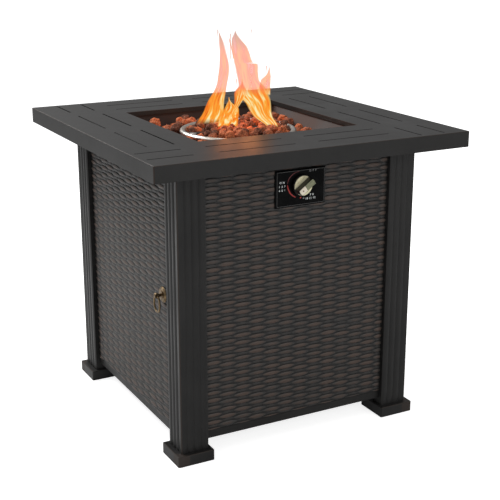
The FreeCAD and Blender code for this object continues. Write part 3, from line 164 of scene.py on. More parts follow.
def meshFromTree(name, tree, values, startMesh=None):
    # runs a geometry tree once and keeps its result as a plain mesh
    holder = newObject(name + "Maker", startMesh or bpy.data.meshes.new(name + "Start"))
    modifier = holder.modifiers.new("maker", "NODES")
    modifier.node_group = tree
    for item in tree.interface.items_tree:
        if item.in_out == "INPUT" and item.name in values:
            modifier[item.identifier] = values[item.name]
    depsgraph = bpy.context.evaluated_depsgraph_get()
    mesh = bpy.data.meshes.new_from_object(holder.evaluated_get(depsgraph),
                                           preserve_all_data_layers=True, depsgraph=depsgraph)
    mesh.name = name
    holder.modifiers.remove(modifier)
    bpy.data.objects.remove(holder)
    return mesh


def newPiece(name, mesh, body, replaced, material):
    piece = newObject(name, mesh)
    mesh.materials.clear()
    mesh.materials.append(material)
    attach(piece, body)
    if replaced:
        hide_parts(*replaced)


def newStage(name, mesh, material):
    mesh.materials.append(material)
    item = newObject(name, mesh)
    return item


def plainMesh(name, bm):
    mesh = bpy.data.meshes.new(name)
    bm.to_mesh(mesh)
    bm.free()
    return mesh


def meshFromBmesh(name, bm, smoothAngle=None):
    bmesh.ops.recalc_face_normals(bm, faces=bm.faces)
    mesh = plainMesh(name, bm)
    if smoothAngle is not None:
        mesh.shade_smooth()
        mesh.set_sharp_from_angle(angle=math.radians(smoothAngle))
    return mesh


def addBox(bm, low, high):
    size = Vector(high) - Vector(low)
    middle = (Vector(high) + Vector(low)) / 2
    place = Matrix.Translation(middle) @ Matrix.Diagonal((*size, 1))
    bmesh.ops.create_cube(bm, size=1, matrix=place)


def bridge(bm, first, second):
    # a closed band of faces between two rings of as many corners
    count = len(first)
    for index in range(count):
        following = (index + 1) % count
        bm.faces.new([first[index], first[following], second[following], second[index]])


def addLathe(bm, profile, segments, wobble=None):
    # profile runs from the axis to the axis as (radius, height) pairs, turned about Z
    rings = []
    for radius, height in profile:
        ring = []
        count = 1 if radius < 1e-7 else segments
        for step in range(count):
            turn = 2 * math.pi * step / segments
            reach = radius + (wobble(radius, turn) if wobble and count > 1 else 0)
            ring.append(bm.verts.new((reach * math.cos(turn), reach * math.sin(turn), height)))
        rings.append(ring)
    for lower, upper in zip(rings, rings[1:]):
        for step in range(segments):
            following = (step + 1) % segments
            corners = [lower[step % len(lower)], lower[following % len(lower)],
                       upper[following % len(upper)], upper[step % len(upper)]]
            corners = list(dict.fromkeys(corners))
            if len(corners) > 2:
                bm.faces.new(corners)
    return [vertex for ring in rings for vertex in ring]


# Sizes read from the frame, and half the fire opening's side, which no box gives

tableEdge, _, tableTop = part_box("tabletop")[1]
mouthEdge = 0.188
legEdge = -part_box("leg_front_left")[0].x
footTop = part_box("foot_front_left")[1].z
knobLow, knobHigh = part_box("knob")
knobHeight = (knobLow.z + knobHigh.z) / 2
plateLow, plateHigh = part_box("control_plate")
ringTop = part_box("burner_ring")[1].z


# Materials

def newMaterial(name):
    material = bpy.data.materials.new(name)
    material.use_nodes = True
    tree = material.node_tree
    return material, tree, tree.nodes["Principled BSDF"]


def objectCoordinates(tree, scale=(1, 1, 1)):
    place = addNode(tree, "ShaderNodeTexCoord").outputs["Object"]
    given = {"Vector": place, "Scale": scale}
    return addNode(tree, "ShaderNodeMapping", given).outputs["Vector"]


def noiseTexture(vector, scale, detail, roughness=0.5, distortion=0.0):
    given = {"Vector": vector, "Scale": scale, "Detail": detail, "Roughness": roughness,
             "Distortion": distortion}
    return addNode(vector.id_data, "ShaderNodeTexNoise", given).outputs["Fac"]


def mixColours(share, first, second):
    node = addNode(share.id_data, "ShaderNodeMix", {"Factor": share}, data_type="RGBA")
    for number, value in ((6, first), (7, second)):
        isSocket = isinstance(value, bpy.types.NodeSocket)
        feed(node.inputs[number], value if isSocket else (*value, 1))
    return node.outputs[2]


def layColour(colour, value, settings, name):
    # lays the named colour on where the value rises through its edges, as far as its share
    share = ramp(value, *settings[name + "Edges"], 0, settings.get(name + "Share", 1))
    return mixColours(share, colour, settings[name])


def paint(shader, colour, roughness, specular):
    feedAll(shader, {"Base Color": colour, "Roughness": roughness,
                     "Specular IOR Level": specular})


def addBump(shader, height, distance, strength, below=None):
    given = {"Height": height, "Distance": distance, "Strength": strength, "Normal": below}
    normal = addNode(height.id_data, "ShaderNodeBump", given).outputs["Normal"]
    feed(shader.inputs["Normal"], normal)
    return normal


def absoluteXYZ(tree):
    # how far a place is from the table's upright axis along X and along Y, and its height
    x, y, z = splitXYZ(addNode(tree, "ShaderNodeTexCoord").outputs["Object"])
    return calculate("ABSOLUTE", x), calculate("ABSOLUTE", y), z


def powderCoat(name, settings, wear=None):
    # a fine-grained baked coat; wear gives the share of rubbed copper at a place
    material, tree, shader = newMaterial(name)
    plain = objectCoordinates(tree)
    cloud, grain, peel = (noiseTexture(plain, *settings[name])
                          for name in ("cloud", "grain", "peel"))
    colour = layColour(settings["dark"], cloud, settings, "light")
    colour = layColour(colour, grain, settings, "speck")
    least, most = (settings["roughness"] + change for change in settings["unevenness"])
    roughness = ramp(cloud, *settings["roughEdges"], least, most)
    if wear is not None:
        patchy = noiseTexture(plain, *settings["patchy"])
        broken = plus(wear(tree), minus(patchy, 0.5))
        colour = layColour(colour, broken, settings, "worn")
        share = ramp(broken, *settings["wornEdges"], 0, settings["wornShare"])
        roughness = plus(roughness, times(share, settings["wornRoughness"]))
    paint(shader, colour, roughness, settings["specular"])
    fine = addBump(shader, grain, settings["grainDepth"], settings["grainStrength"])
    addBump(shader, peel, settings["peelDepth"], settings["peelStrength"], fine)
    return material


def metalFinish(name, given):
    # brushed, drawn, cast or plated metal from a stretched grain, a tint and a little grime
    basis = dict(grainStretch=(1, 1, 1), grainDetail=(3, 0.6),
                 patchScale=30, patchDetail=(4, 0.6), tintEdges=(0.42, 0.7),
                 streakEdges=(0.4, 0.6), streakShare=0.15, metallic=1.0, grainDepth=0.0001,
                 grainStrength=0.3, stainShare=0.96, roughEdges=(0.8, 1.25))
    settings = {**basis, **given}
    material, tree, shader = newMaterial(name)
    stretched = objectCoordinates(tree, settings["grainStretch"])
    grain = noiseTexture(stretched, settings["grainScale"], *settings["grainDetail"])
    patches = noiseTexture(objectCoordinates(tree), settings["patchScale"],
                           *settings["patchDetail"])
    colour = layColour(settings["colour"], patches, settings, "tint")
    colour = layColour(colour, grain, settings, "streak")
    if "stain" in settings:
        # dark heat stain towards the table's upright axis
        across, deep, _ = absoluteXYZ(tree)
        flat = calculate("SQRT", plus(times(across, across), times(deep, deep)))
        share = ramp(flat, *settings["stainEdges"], settings["stainShare"], 0)
        colour = mixColours(share, colour, settings["stain"])
    roughness = ramp(plus(grain, patches), *settings["roughEdges"], *settings["roughness"])
    feedAll(shader, {"Base Color": colour, "Roughness": roughness,
                     "Metallic": settings["metallic"]})
    addBump(shader, grain, settings["grainDepth"], settings["grainStrength"])
    return material


def plasticFinish(name, given):
    basis = dict(smudgeScale=40, smudgeDetail=(4, 0.6), tintEdges=(0.4, 0.7),
                 roughEdges=(0.35, 0.7), specular=0.5, grainDetail=2,
                 grainDepth=0.00005, grainStrength=0.25)
    settings = {**basis, **given}
    material, tree, shader = newMaterial(name)
    plain = objectCoordinates(tree)
    grain = noiseTexture(plain, settings["grainScale"], settings["grainDetail"])
    smudge = noiseTexture(plain, settings["smudgeScale"], *settings["smudgeDetail"])
    colour = layColour(settings["colour"], smudge, settings, "tint")
    roughness = ramp(smudge, *settings["roughEdges"], *settings["roughness"])
    paint(shader, colour, roughness, settings["specular"])
    addBump(shader, grain, settings["grainDepth"], settings["grainStrength"])
    return material


def rimWear(tree):
    # faintly rubbed along the top's outer rim, its corners and the edge of the fire opening
    sizes = dict(rim=(0.0022, 0.0004), upper=(0.0018, 0.0003), corner=(0.003, 0.0012),
                 mouth=(0.0004, 0.0022))
    across, deep, height = absoluteXYZ(tree)
    reach = larger(across, deep)
    outer = ramp(reach, *(tableEdge - size for size in sizes["rim"]))
    upper = ramp(height, *(tableTop - size for size in sizes["upper"]))
    corner = ramp(plus(across, deep), *(2 * tableEdge - size for size in sizes["corner"]))
    mouth = ramp(reach, *(mouthEdge + size for size in sizes["mouth"]), 1, 0)
    return larger(larger(times(outer, upper), corner), times(mouth, upper))


def legWear(tree):
    # rubbed along each leg's arris and round the rims of the feet
    sizes = dict(arris=(0.0035, 0.0012), rim=(0.0022, 0.0006), edge=(0.007, 0.0105))
    across, deep, height = absoluteXYZ(tree)
    arris = ramp(plus(across, deep), *(2 * legEdge - size for size in sizes["arris"]))
    rim = ramp(height, *(footTop - size for size in sizes["rim"]))
    edge = ramp(larger(across, deep), *(legEdge + size for size in sizes["edge"]))
    return larger(arris, times(rim, edge))


charcoal = dict(
    dark=(0.0165, 0.016, 0.0155), light=(0.0225, 0.0218, 0.021),
    cloud=(9, 3, 0.55), lightEdges=(0.35, 0.68),
    roughness=0.40, unevenness=(-0.05, 0.06), roughEdges=(0.3, 0.7),
    speck=(0.042, 0.04, 0.037), speckShare=0.3, speckEdges=(0.62, 0.72), specular=0.22,
    grain=(1500, 2), grainDepth=0.0001, grainStrength=0.35,
    peel=(420, 2), peelDepth=0.0002, peelStrength=0.4,
    worn=(0.05, 0.03, 0.022), patchy=(160, 5, 0.65), wornShare=0.6, wornEdges=(0.42, 0.8),
    wornRoughness=0.2)
legCoat = {**charcoal, **dict(
    dark=(0.0155, 0.0151, 0.0148), light=(0.0225, 0.0219, 0.0214),
    roughness=0.38, wornShare=0.5, worn=(0.055, 0.039, 0.031))}
panCoat = {**charcoal, **dict(
    dark=(0.026, 0.0145, 0.011), light=(0.056, 0.029, 0.0205),
    cloud=(14, 3, 0.55), roughness=0.6)}
coats = dict(charcoalCoat=(charcoal,), charcoalTopCoat=(charcoal, rimWear),
             rubbedLegCoat=(legCoat, legWear), heatBrownCoat=(panCoat,))
finishes = {name: powderCoat(name, *given) for name, given in coats.items()}
print("powder coats made")

stainless = dict(colour=(0.62, 0.60, 0.57), tint=(0.46, 0.36, 0.26), grainScale=700,
                 grainStretch=(1, 1, 6), patchScale=22, streak=(0.8, 0.79, 0.77))
knobTrim = dict(grainScale=1600, grainStretch=(1, 1, 0.15), patchScale=150, metallic=0.4,
                roughness=(0.28, 0.42))
metals = dict(
    zincSteel=dict(
        colour=(0.60, 0.60, 0.57), tint=(0.50, 0.49, 0.44), streak=(0.75, 0.76, 0.78),
        grainScale=900, patchScale=140, roughness=(0.28, 0.5)),
    stainlessRing=dict(stainless, roughness=(0.22, 0.42)),
    ringSteel=dict(stainless, roughness=(0.24, 0.42), stain=(0.035, 0.022, 0.016),
                   stainEdges=(0.103, 0.114)),
    galvanisedSheet=dict(
        colour=(0.50, 0.51, 0.53), tint=(0.62, 0.63, 0.65), streak=(0.42, 0.43, 0.45),
        grainScale=120, patchScale=60, streakShare=0.3, roughness=(0.35, 0.55)),
    antiqueBrass=dict(
        colour=(0.20, 0.135, 0.07), tint=(0.06, 0.042, 0.026), streak=(0.42, 0.32, 0.19),
        grainScale=1300, patchScale=190, streakShare=0.3, roughness=(0.3, 0.5)),
    machinedBrass=dict(
        colour=(0.68, 0.50, 0.24), tint=(0.48, 0.34, 0.16), streak=(0.82, 0.66, 0.36),
        grainScale=1500, grainStretch=(1, 6, 1), patchScale=110, roughness=(0.22, 0.42)),
    drawnAluminium=dict(
        colour=(0.70, 0.71, 0.72), tint=(0.55, 0.56, 0.57), streak=(0.85, 0.85, 0.86),
        grainScale=1200, grainStretch=(1, 0.1, 1), roughness=(0.25, 0.4)),
    drawnCopper=dict(
        colour=(0.62, 0.30, 0.16), tint=(0.30, 0.15, 0.09), streak=(0.8, 0.48, 0.3),
        grainScale=1200, patchScale=120, roughness=(0.3, 0.5)),
    blackIron=dict(
        colour=(0.045, 0.044, 0.043), tint=(0.09, 0.07, 0.055), streak=(0.12, 0.11, 0.10),
        grainScale=420, patchScale=90, roughness=(0.5, 0.72), metallic=0.5,
        grainDepth=0.0004, grainStrength=0.6),
    blackOxide=dict(
        colour=(0.028, 0.028, 0.029), tint=(0.05, 0.047, 0.044), streak=(0.10, 0.10, 0.10),
        grainScale=900, roughness=(0.35, 0.5), metallic=0.7),
    champagneMetal=dict(
        knobTrim, colour=(0.92, 0.86, 0.58), tint=(0.70, 0.65, 0.42),
        streak=(0.85, 0.80, 0.64)),
    # painted shade: champagne darkened to olive, used on the ridged top of the bar
    shadedChampagne=dict(
        knobTrim, colour=(0.27, 0.28, 0.17), tint=(0.19, 0.20, 0.13),
        streak=(0.48, 0.46, 0.32)))
finishes.update((name, metalFinish(name, settings)) for name, settings in metals.items())

printed = dict(grainScale=2500, roughness=(0.4, 0.5))
plastics = dict(
    blackPlastic=dict(colour=(0.022, 0.022, 0.023), tint=(0.035, 0.034, 0.033),
                      grainScale=1400, roughness=(0.42, 0.58)),
    glossBlackPlate=dict(colour=(0.003, 0.003, 0.0032), tint=(0.006, 0.006, 0.0062),
                         grainScale=900, grainStrength=0.06, specular=0.04,
                         roughness=(0.22, 0.34)),
    # painted highlight: the lighter grey of the line along the plate's bevel
    paintedBevelHighlight=dict(colour=(0.065, 0.064, 0.062), tint=(0.04, 0.04, 0.04), grainScale=1200,
                   roughness=(0.3, 0.45)),
    knobBlack=dict(colour=(0.008, 0.0075, 0.007), tint=(0.016, 0.015, 0.014),
                   grainScale=1400, roughness=(0.3, 0.45)),
    skirtBlack=dict(colour=(0.010, 0.0095, 0.009), tint=(0.02, 0.019, 0.018),
                    grainScale=1400, specular=0.3, roughness=(0.25, 0.4)),
    creamPointer=dict(colour=(0.95, 0.86, 0.70), tint=(0.86, 0.76, 0.60), grainScale=2000,
                      roughness=(0.35, 0.5)),
    nylon=dict(colour=(0.72, 0.70, 0.64), tint=(0.62, 0.60, 0.54), grainScale=1200,
               roughness=(0.45, 0.6)),
    whiteCeramic=dict(colour=(0.80, 0.79, 0.75), tint=(0.55, 0.50, 0.44), smudgeScale=160,
                      grainScale=1500, roughness=(0.5, 0.7)),
    siliconeWire=dict(colour=(0.32, 0.035, 0.025), tint=(0.22, 0.03, 0.025), grainScale=900,
                      roughness=(0.4, 0.55)),
    whitePrint=dict(printed, colour=(0.72, 0.75, 0.74), tint=(0.62, 0.64, 0.63)),
    greyPrint=dict(printed, colour=(0.20, 0.20, 0.20), tint=(0.15, 0.15, 0.15)),
    redPrint=dict(printed, colour=(0.50, 0.03, 0.02), tint=(0.40, 0.025, 0.02)),
    darkRedPrint=dict(printed, colour=(0.17, 0.012, 0.014), tint=(0.12, 0.009, 0.010)),
    brownPrint=dict(printed, colour=(0.16, 0.06, 0.04), tint=(0.12, 0.05, 0.03)))
finishes.update((name, plasticFinish(name, settings)) for name, settings in plastics.items())
print("metals and plastics made")


def lavaMaterial():
    settings = dict(red=(0.60, 0.165, 0.066), dark=(0.15, 0.06, 0.038),
                    ash=(0.62, 0.29, 0.17), paintedPoreShade=(0.014, 0.007, 0.006),
                    patches=(30, 4, 0.65), redEdges=(0.34, 0.62), toneShare=0.45,
                    dust=(230, 3, 0.7), ashEdges=(0.55, 0.74), ashShare=0.65,
                    poreScales=(340, 820), poreEdges=(0.14, 0.44), fineShare=0.4,
                    poreFade=0.55, poreShadeShare=0.9, poreDepth=0.0018, poreStrength=0.9,
                    roughness=0.92, specular=0.25)
    material, tree, shader = newMaterial("lavaRock")
    plain = objectCoordinates(tree)
    tone = addNode(tree, "ShaderNodeAttribute", attribute_name="stoneTone").outputs["Fac"]
    patches = noiseTexture(plain, *settings["patches"])
    tone = plus(patches, times(minus(tone, 0.5), settings["toneShare"]))
    colour = layColour(settings["dark"], tone, settings, "red")
    dust = noiseTexture(plain, *settings["dust"])
    colour = layColour(colour, dust, settings, "ash")
    heights = []
    for scale in settings["poreScales"]:
        pores = addNode(tree, "ShaderNodeTexVoronoi", {"Vector": plain, "Scale": scale})
        heights.append(ramp(pores.outputs["Distance"], *settings["poreEdges"]))
    fine = plus(times(heights[1], settings["fineShare"]), 1 - settings["fineShare"])
    depth = times(heights[0], fine)
    # painted shade: the colour darkens in the deep pores, where shade falls
    share = ramp(depth, 0.0, settings["poreFade"], settings["poreShadeShare"], 0)
    colour = mixColours(share, colour, settings["paintedPoreShade"])
    paint(shader, colour, settings["roughness"], settings["specular"])
    addBump(shader, depth, settings["poreDepth"], settings["poreStrength"])
    return material


def wovenMaterial():
    # painted shade dark between the strands, charcoal on them and softly copper-brown on their
    # crests
    settings = dict(paintedGapShade=(0.016, 0.0154, 0.015), coat=(0.038, 0.036, 0.0343),
                    rubbed=(0.080, 0.053, 0.0412), pale=(0.102, 0.074, 0.061),
                    coatEdges=(0.0, 0.35), rubbedEdges=(0.38, 0.85), rubbedShare=0.9,
                    paleEdges=(0.95, 1.25), paleShare=0.6,
                    patchy=(260, 3), patchyShare=0.35, toneShare=0.30,
                    cloud=(22, 4, 0.6), cloudShare=0.9, grain=(1100, 2), grainDepth=0.00016,
                    grainStrength=0.4, roughness=(0.40, 0.56), roughEdges=(0.3, 0.7),
                    specular=0.34)
    material, tree, shader = newMaterial("wovenCoat")
    plain = objectCoordinates(tree)
    relief, tone = (addNode(tree, "ShaderNodeAttribute", attribute_name=name).outputs["Fac"]
                    for name in ("relief", "strandTone"))
    cloud, patchy, grain = (noiseTexture(plain, *settings[name])
                            for name in ("cloud", "patchy", "grain"))
    # painted shade: darker colour on the sheet and the low parts between the strands, where shade
    # falls
    colour = layColour(settings["paintedGapShade"], relief, settings, "coat")
    rub = relief
    for value, name in ((patchy, "patchy"), (tone, "tone"), (cloud, "cloud")):
        rub = plus(rub, times(minus(value, 0.5), settings[name + "Share"]))
    colour = layColour(colour, rub, settings, "rubbed")
    colour = layColour(colour, rub, settings, "pale")
    roughness = ramp(patchy, *settings["roughEdges"], *settings["roughness"])
    paint(shader, colour, roughness, settings["specular"])
    addBump(shader, grain, settings["grainDepth"], settings["grainStrength"])
    return material


finishes["wovenCoat"] = wovenMaterial()
finishes["lavaRock"] = lavaMaterial()
slotFinishes = dict(
    charcoal_powder_coat="charcoalCoat", rubbed_copper_coat="rubbedLegCoat",
    woven_look_coat="wovenCoat", zinc_steel="zincSteel", nylon="nylon",
    black_plastic="blackPlastic", antique_brass="antiqueBrass", black_gloss="glossBlackPlate",
    champagne_metal="champagneMetal", brass="machinedBrass", silicone_wire="siliconeWire",
    white_ceramic="whiteCeramic", copper="drawnCopper", aluminium_tube="drawnAluminium",
    black_iron="blackIron", stainless_steel="stainlessRing", heat_brown_steel="heatBrownCoat",
    galvanised_sheet="galvanisedSheet", black_fasteners="blackOxide", lava_rock="lavaRock")
for subpart in frame["record"]["subparts"]:
    mesh = nodes[subpart["node"]].data
    mesh.materials.clear()
    mesh.materials.append(finishes[slotFinishes[subpart["material_slot"]]])
nodes["tabletop"].data.materials[0] = finishes["charcoalTopCoat"]
nodes["burner_ring"].data.materials[0] = finishes["ringSteel"]
print("materials put on the frame")


# Woven panels: strands that pass over one column and under the next

def wovenTree():
    sizes = dict(leastColumn=0.12, leastStrand=0.35, sunkShare=0.46, longGain=0.22,
                 tallGain=0.19, tallSpread=(0.95, 1.05), depthSpread=(0.86, 1.0), tilt=0.012,
                 segments=8, rings=9, taper=0.3, backShare=0.3)
    lengths = ("Width", "Height", "Column Pitch", "Strand Pitch", "Column Shift",
               "Strand Shift", "Raised Depth", "Sunk Depth")
    tree, given, place = newGeometryTree("wovenStrands", {
        **dict.fromkeys(lengths, "Float"), "Seed": "Int", "Material": "Material"})

    def chance(low, high, offset):
        values = {2: low, 3: high, "Seed": plus(given["Seed"], offset)}
        return addNode(tree, "FunctionNodeRandomValue", values, data_type="FLOAT").outputs[1]

    # a grid of whole numbers, one point for each crossing of a strand and a column
    grid = addNode(tree, "GeometryNodeMeshGrid")
    for label, total, pitch in (("X", "Width", "Column Pitch"), ("Y", "Height", "Strand Pitch")):
        count = plus(calculate("CEIL", calculate("DIVIDE", given[total], given[pitch])), 2)
        feedAll(grid, {"Vertices " + label: count, "Size " + label: minus(count, 1)})
    limits = addNode(tree, "GeometryNodeAttributeStatistic", data_type="FLOAT_VECTOR")
    feedAll(limits, {"Geometry": grid.outputs["Mesh"], "Attribute": place})
    lowest = splitXYZ(limits.outputs["Min"])
    position = splitXYZ(place)
    numbers = []
    spans = []
    for axis, total, pitch, shift in (("X", "Width", "Column Pitch", "Column Shift"),
                                      ("Y", "Height", "Strand Pitch", "Strand Shift")):
        half = times(given[total], 0.5)
        number = calculate("ROUND", minus(position[axis], lowest[axis]))
        start = plus(times(minus(number, 1), given[pitch]), given[shift])
        start = minus(start, half)
        low = larger(start, times(half, -1))
        high = smaller(plus(start, given[pitch]), half)
        numbers.append(number)
        spans.append((times(plus(low, high), 0.5), minus(high, low)))
    (acrossMiddle, acrossSpan), (upMiddle, upSpan) = spans
    raised = minus(1, calculate("MODULO", plus(*numbers), 2))
    wide = calculate("GREATER_THAN", acrossSpan,
                     times(given["Column Pitch"], sizes["leastColumn"]))
    tall = calculate("GREATER_THAN", upSpan, times(given["Strand Pitch"], sizes["leastStrand"]))
    longShare = plus(sizes["sunkShare"], times(raised, sizes["longGain"]))
    tallShare = plus(sizes["sunkShare"], times(raised, sizes["tallGain"]))
    drop = minus(given["Raised Depth"], given["Sunk Depth"])
    depth = plus(given["Sunk Depth"], times(raised, drop))
    strand = joinXYZ(tree, times(acrossSpan, longShare),
                     times(times(upSpan, tallShare), chance(*sizes["tallSpread"], 3)),
                     times(depth, chance(*sizes["depthSpread"], 5)))
    points = storeOnPoints(grid.outputs["Mesh"], "strandSize", "FLOAT_VECTOR", strand)
    points = storeOnPoints(points, "keepStrand", "FLOAT", times(wide, tall))
    points = storeOnPoints(points, "strandTone", "FLOAT", chance(0.0, 1.0, 7))
    points = movePoints(points, Position=joinXYZ(tree, acrossMiddle, upMiddle))
    # one strand is a ball whose two ends taper and whose back is nearly flat
    ball = addNode(tree, "GeometryNodeMeshUVSphere", {
        "Segments": sizes["segments"], "Rings": sizes["rings"], "Radius": 1.0})
    lying = addNode(tree, "GeometryNodeTransform", {
        "Geometry": ball.outputs["Mesh"], "Rotation": (0, math.radians(90), 0)})
    shape = splitXYZ(place)
    square = times(shape[0], shape[0])
    taper = calculate("POWER", larger(minus(1, square), 0), sizes["taper"])
    back = times(smaller(shape[2], 0), sizes["backShare"])
    front = larger(shape[2], 0)
    lens = joinXYZ(tree, shape[0], times(shape[1], taper), times(plus(back, front), taper))
    strand = smoothShading(movePoints(lying.outputs["Geometry"], Position=lens))
    scatter = addNode(tree, "GeometryNodeInstanceOnPoints", {
        "Points": points, "Instance": strand,
        "Selection": storedValue(tree, "keepStrand", "FLOAT"),
        "Rotation": joinXYZ(tree, None, None, chance(-sizes["tilt"], sizes["tilt"], 11)),
        "Scale": storedValue(tree, "strandSize", "FLOAT_VECTOR")})
    real = addNode(tree, "GeometryNodeRealizeInstances",
                   {"Geometry": scatter.outputs["Instances"]})
    relief = calculate("DIVIDE", splitXYZ(place)[2], given["Raised Depth"])
    done = storeOnPoints(real.outputs["Geometry"], "relief", "FLOAT", relief)
    return endGeometryTree(tree, done, given["Material"])


def addTray(bm, half, low, high, face, sizes, sideReturn, endReturn):
    # the folded sheet behind the strands, with X across, Y up and Z outwards
    back = face - sizes["sheet"]
    front = face - sizes["raisedDepth"]
    fold = sizes["fold"]
    root = back + sizes["overlap"]
    addBox(bm, (-half, low, back), (half, high, front))
    for side in (-1, 1):
        left, right = sorted((side * half, side * (half - fold)))
        addBox(bm, (left, low, back - sideReturn), (right, high, root))
    for bottom, top in ((low, low + fold), (high - fold, high)):
        addBox(bm, (-half + fold, bottom, back - endReturn), (half - fold, top, root))


def wovenPanel(name, node, body, quarter, seed, weave):
    sizes = dict(strandPitch=0.00825, raisedDepth=0.002, sunkDepth=0.0006, sheet=0.003,
                 fold=0.0015, overlap=0.0002)
    low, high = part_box(node)
    turned = Matrix.Rotation(-quarter * math.pi / 2, 4, "Z")
    corners = [turned @ Vector(low), turned @ Vector(high)]
    half = max(abs(corner.x) for corner in corners)
    if node == "door":
        half = (high.y - low.y) / 2
    face = max(-corner.y for corner in corners)
    mesh = meshFromTree(name + "Strands", strandTree, {
        "Width": 2 * half, "Height": high.z - low.z, "Column Pitch": weave["columnPitch"],
        "Strand Pitch": sizes["strandPitch"], "Column Shift": weave["columnShift"],
        "Strand Shift": weave["strandShift"], "Raised Depth": sizes["raisedDepth"],
        "Sunk Depth": sizes["sunkDepth"], "Seed": seed, "Material": finishes["wovenCoat"]})
    bm = bmesh.new()
    bm.from_mesh(mesh)
    bmesh.ops.translate(bm, verts=bm.verts,
                        vec=(0, (high.z + low.z) / 2, face - sizes["raisedDepth"]))
    addTray(bm, half, low.z, high.z, face, sizes, weave["sideReturn"], weave["endReturn"])
    # from the flat frame to the panel's side of the table
    stand = Matrix.Rotation(math.pi / 2, 4, "X")
    place = Matrix.Rotation(quarter * math.pi / 2, 4, "Z") @ stand
    bmesh.ops.transform(bm, matrix=place, verts=bm.verts)
    bm.to_mesh(mesh)
    bm.free()
    mesh.name = name
    newPiece(name, mesh, body, [node], finishes["wovenCoat"])


strandTree = wovenTree()
fixedWeave = dict(columnShift=0.0328, columnPitch=0.0344, strandShift=0.0030,
                  sideReturn=0.018, endReturn=0.008)
doorWeave = dict(columnShift=0.0270, columnPitch=0.0350, strandShift=0.0060,
                 sideReturn=0.015, endReturn=0.015)
wovenPanel("frontPanelWeave", "front_panel", "table", 0, 3, fixedWeave)
wovenPanel("rightPanelWeave", "right_panel", "table", 1, 5, fixedWeave)
wovenPanel("rearPanelWeave", "rear_panel", "table", 2, 7, fixedWeave)
wovenPanel("doorWeave", "door", "door", 3, 9, doorWeave)
print("woven panels made")


# Lava stones: each of the frame's stones made finer, rounded and pitted

def stoneTree():
    sizes = dict(toneStep=40, pitScale=140, pitEdges=(0.15, 0.5), lumpEdges=(0.3, 0.7),
                 broad=(42, 2, 0), fine=(120, 3, 9), fineShare=0.9)
    tree, given, place = newGeometryTree("lavaStones", {
        "Stones": "Geometry", "Levels": "Int", "Rounding": "Int", "Growth": "Float",
        "Roughness": "Float", "Pit Depth": "Float", "Material": "Material"})
    finer = addNode(tree, "GeometryNodeSubdivideMesh", {
        "Mesh": given["Stones"], "Level": given["Levels"]})
    soft = addNode(tree, "GeometryNodeBlurAttribute", data_type="FLOAT_VECTOR")
    feedAll(soft, {"Value": place, "Iterations": given["Rounding"]})
    rounded = movePoints(finer.outputs["Mesh"], Position=soft.outputs["Value"])
    middle = storedValue(tree, "stoneCentre", "FLOAT_VECTOR")
    outward = addNode(tree, "ShaderNodeVectorMath", {0: place, 1: middle},
                      operation="SUBTRACT").outputs[0]
    ownPlace = times(storedValue(tree, "stoneTone", "FLOAT"), sizes["toneStep"])

    def lumps(scale, detail, offset):
        node = addNode(tree, "ShaderNodeTexNoise", noise_dimensions="4D")
        feedAll(node, {"Vector": place, "W": plus(ownPlace, offset), "Scale": scale,
                       "Detail": detail})
        return node.outputs["Fac"]

    pits = addNode(tree, "ShaderNodeTexVoronoi", {"Vector": place, "Scale": sizes["pitScale"]})
    pit = times(ramp(pits.outputs["Distance"], *sizes["pitEdges"], 1, 0), given["Pit Depth"])
    broad = ramp(lumps(*sizes["broad"]), *sizes["lumpEdges"], 0, 1)
    fine = ramp(lumps(*sizes["fine"]), *sizes["lumpEdges"], 0, sizes["fineShare"])
    loss = plus(times(plus(broad, fine), given["Roughness"]), pit)
    share = minus(minus(given["Growth"], 1), loss)
    shift = addNode(tree, "ShaderNodeVectorMath", {0: outward, "Scale": share},
                    operation="SCALE").outputs[0]
    rough = smoothShading(movePoints(rounded, Offset=shift))
    real = addNode(tree, "GeometryNodeRealizeInstances", {"Geometry": rough})
    return endGeometryTree(tree, real.outputs["Geometry"], given["Material"])


def stoneIslands(bm):
    # the separate stones of a mesh, each as its list of corners
    stones = []
    seen = set()
    for start in bm.verts:
        if start in seen:
            continue
        group = [start]
        seen.add(start)
        for vertex in group:
            for edge in vertex.link_edges:
                other = edge.other_vert(vertex)
                if other not in seen:
                    seen.add(other)
                    group.append(other)
        stones.append(group)
    return stones


def frameStones():
    bm = bmesh.new()
    bm.from_mesh(nodes["lava_rocks"].data)
    bmesh.ops.remove_doubles(bm, verts=bm.verts, dist=1e-6)
    return bm


def middleOf(group):
    return sum((vertex.co for vertex in group), Vector()) / len(group)


def coverStones(bm, chance):
    # small stones that lie on the burner's cross tube and fill the hollows of the heap
    sizes = dict(least=0.0095, most=0.0145, tries=900, reach=0.108, crown=0.6405,
                 closeness=0.80, sinking=(1.0, 1.5), core=0.86)
    start = frameStones()
    taken = []
    for group in stoneIslands(start):
        middle = middleOf(group)
        taken.append((middle, max((vertex.co - middle).length for vertex in group)))
    start.free()
    for _ in range(sizes["tries"]):
        turn = chance.uniform(0, 2 * math.pi)
        far = sizes["reach"] * math.sqrt(chance.random())
        size = chance.uniform(sizes["least"], sizes["most"])
        height = sizes["crown"] - size * chance.uniform(*sizes["sinking"])
        middle = Vector((far * math.cos(turn), far * math.sin(turn), height))
        if all((middle - other).length > sizes["closeness"] * (size + reach)
               for other, reach in taken):
            taken.append((middle, size))
            spin = (Matrix.Rotation(chance.uniform(0, 6), 4, "X")
                    @ Matrix.Rotation(chance.uniform(0, 6), 4, "Z"))
            bmesh.ops.create_icosphere(bm, subdivisions=1, radius=size * sizes["core"],
                                       matrix=Matrix.Translation(middle) @ spin)


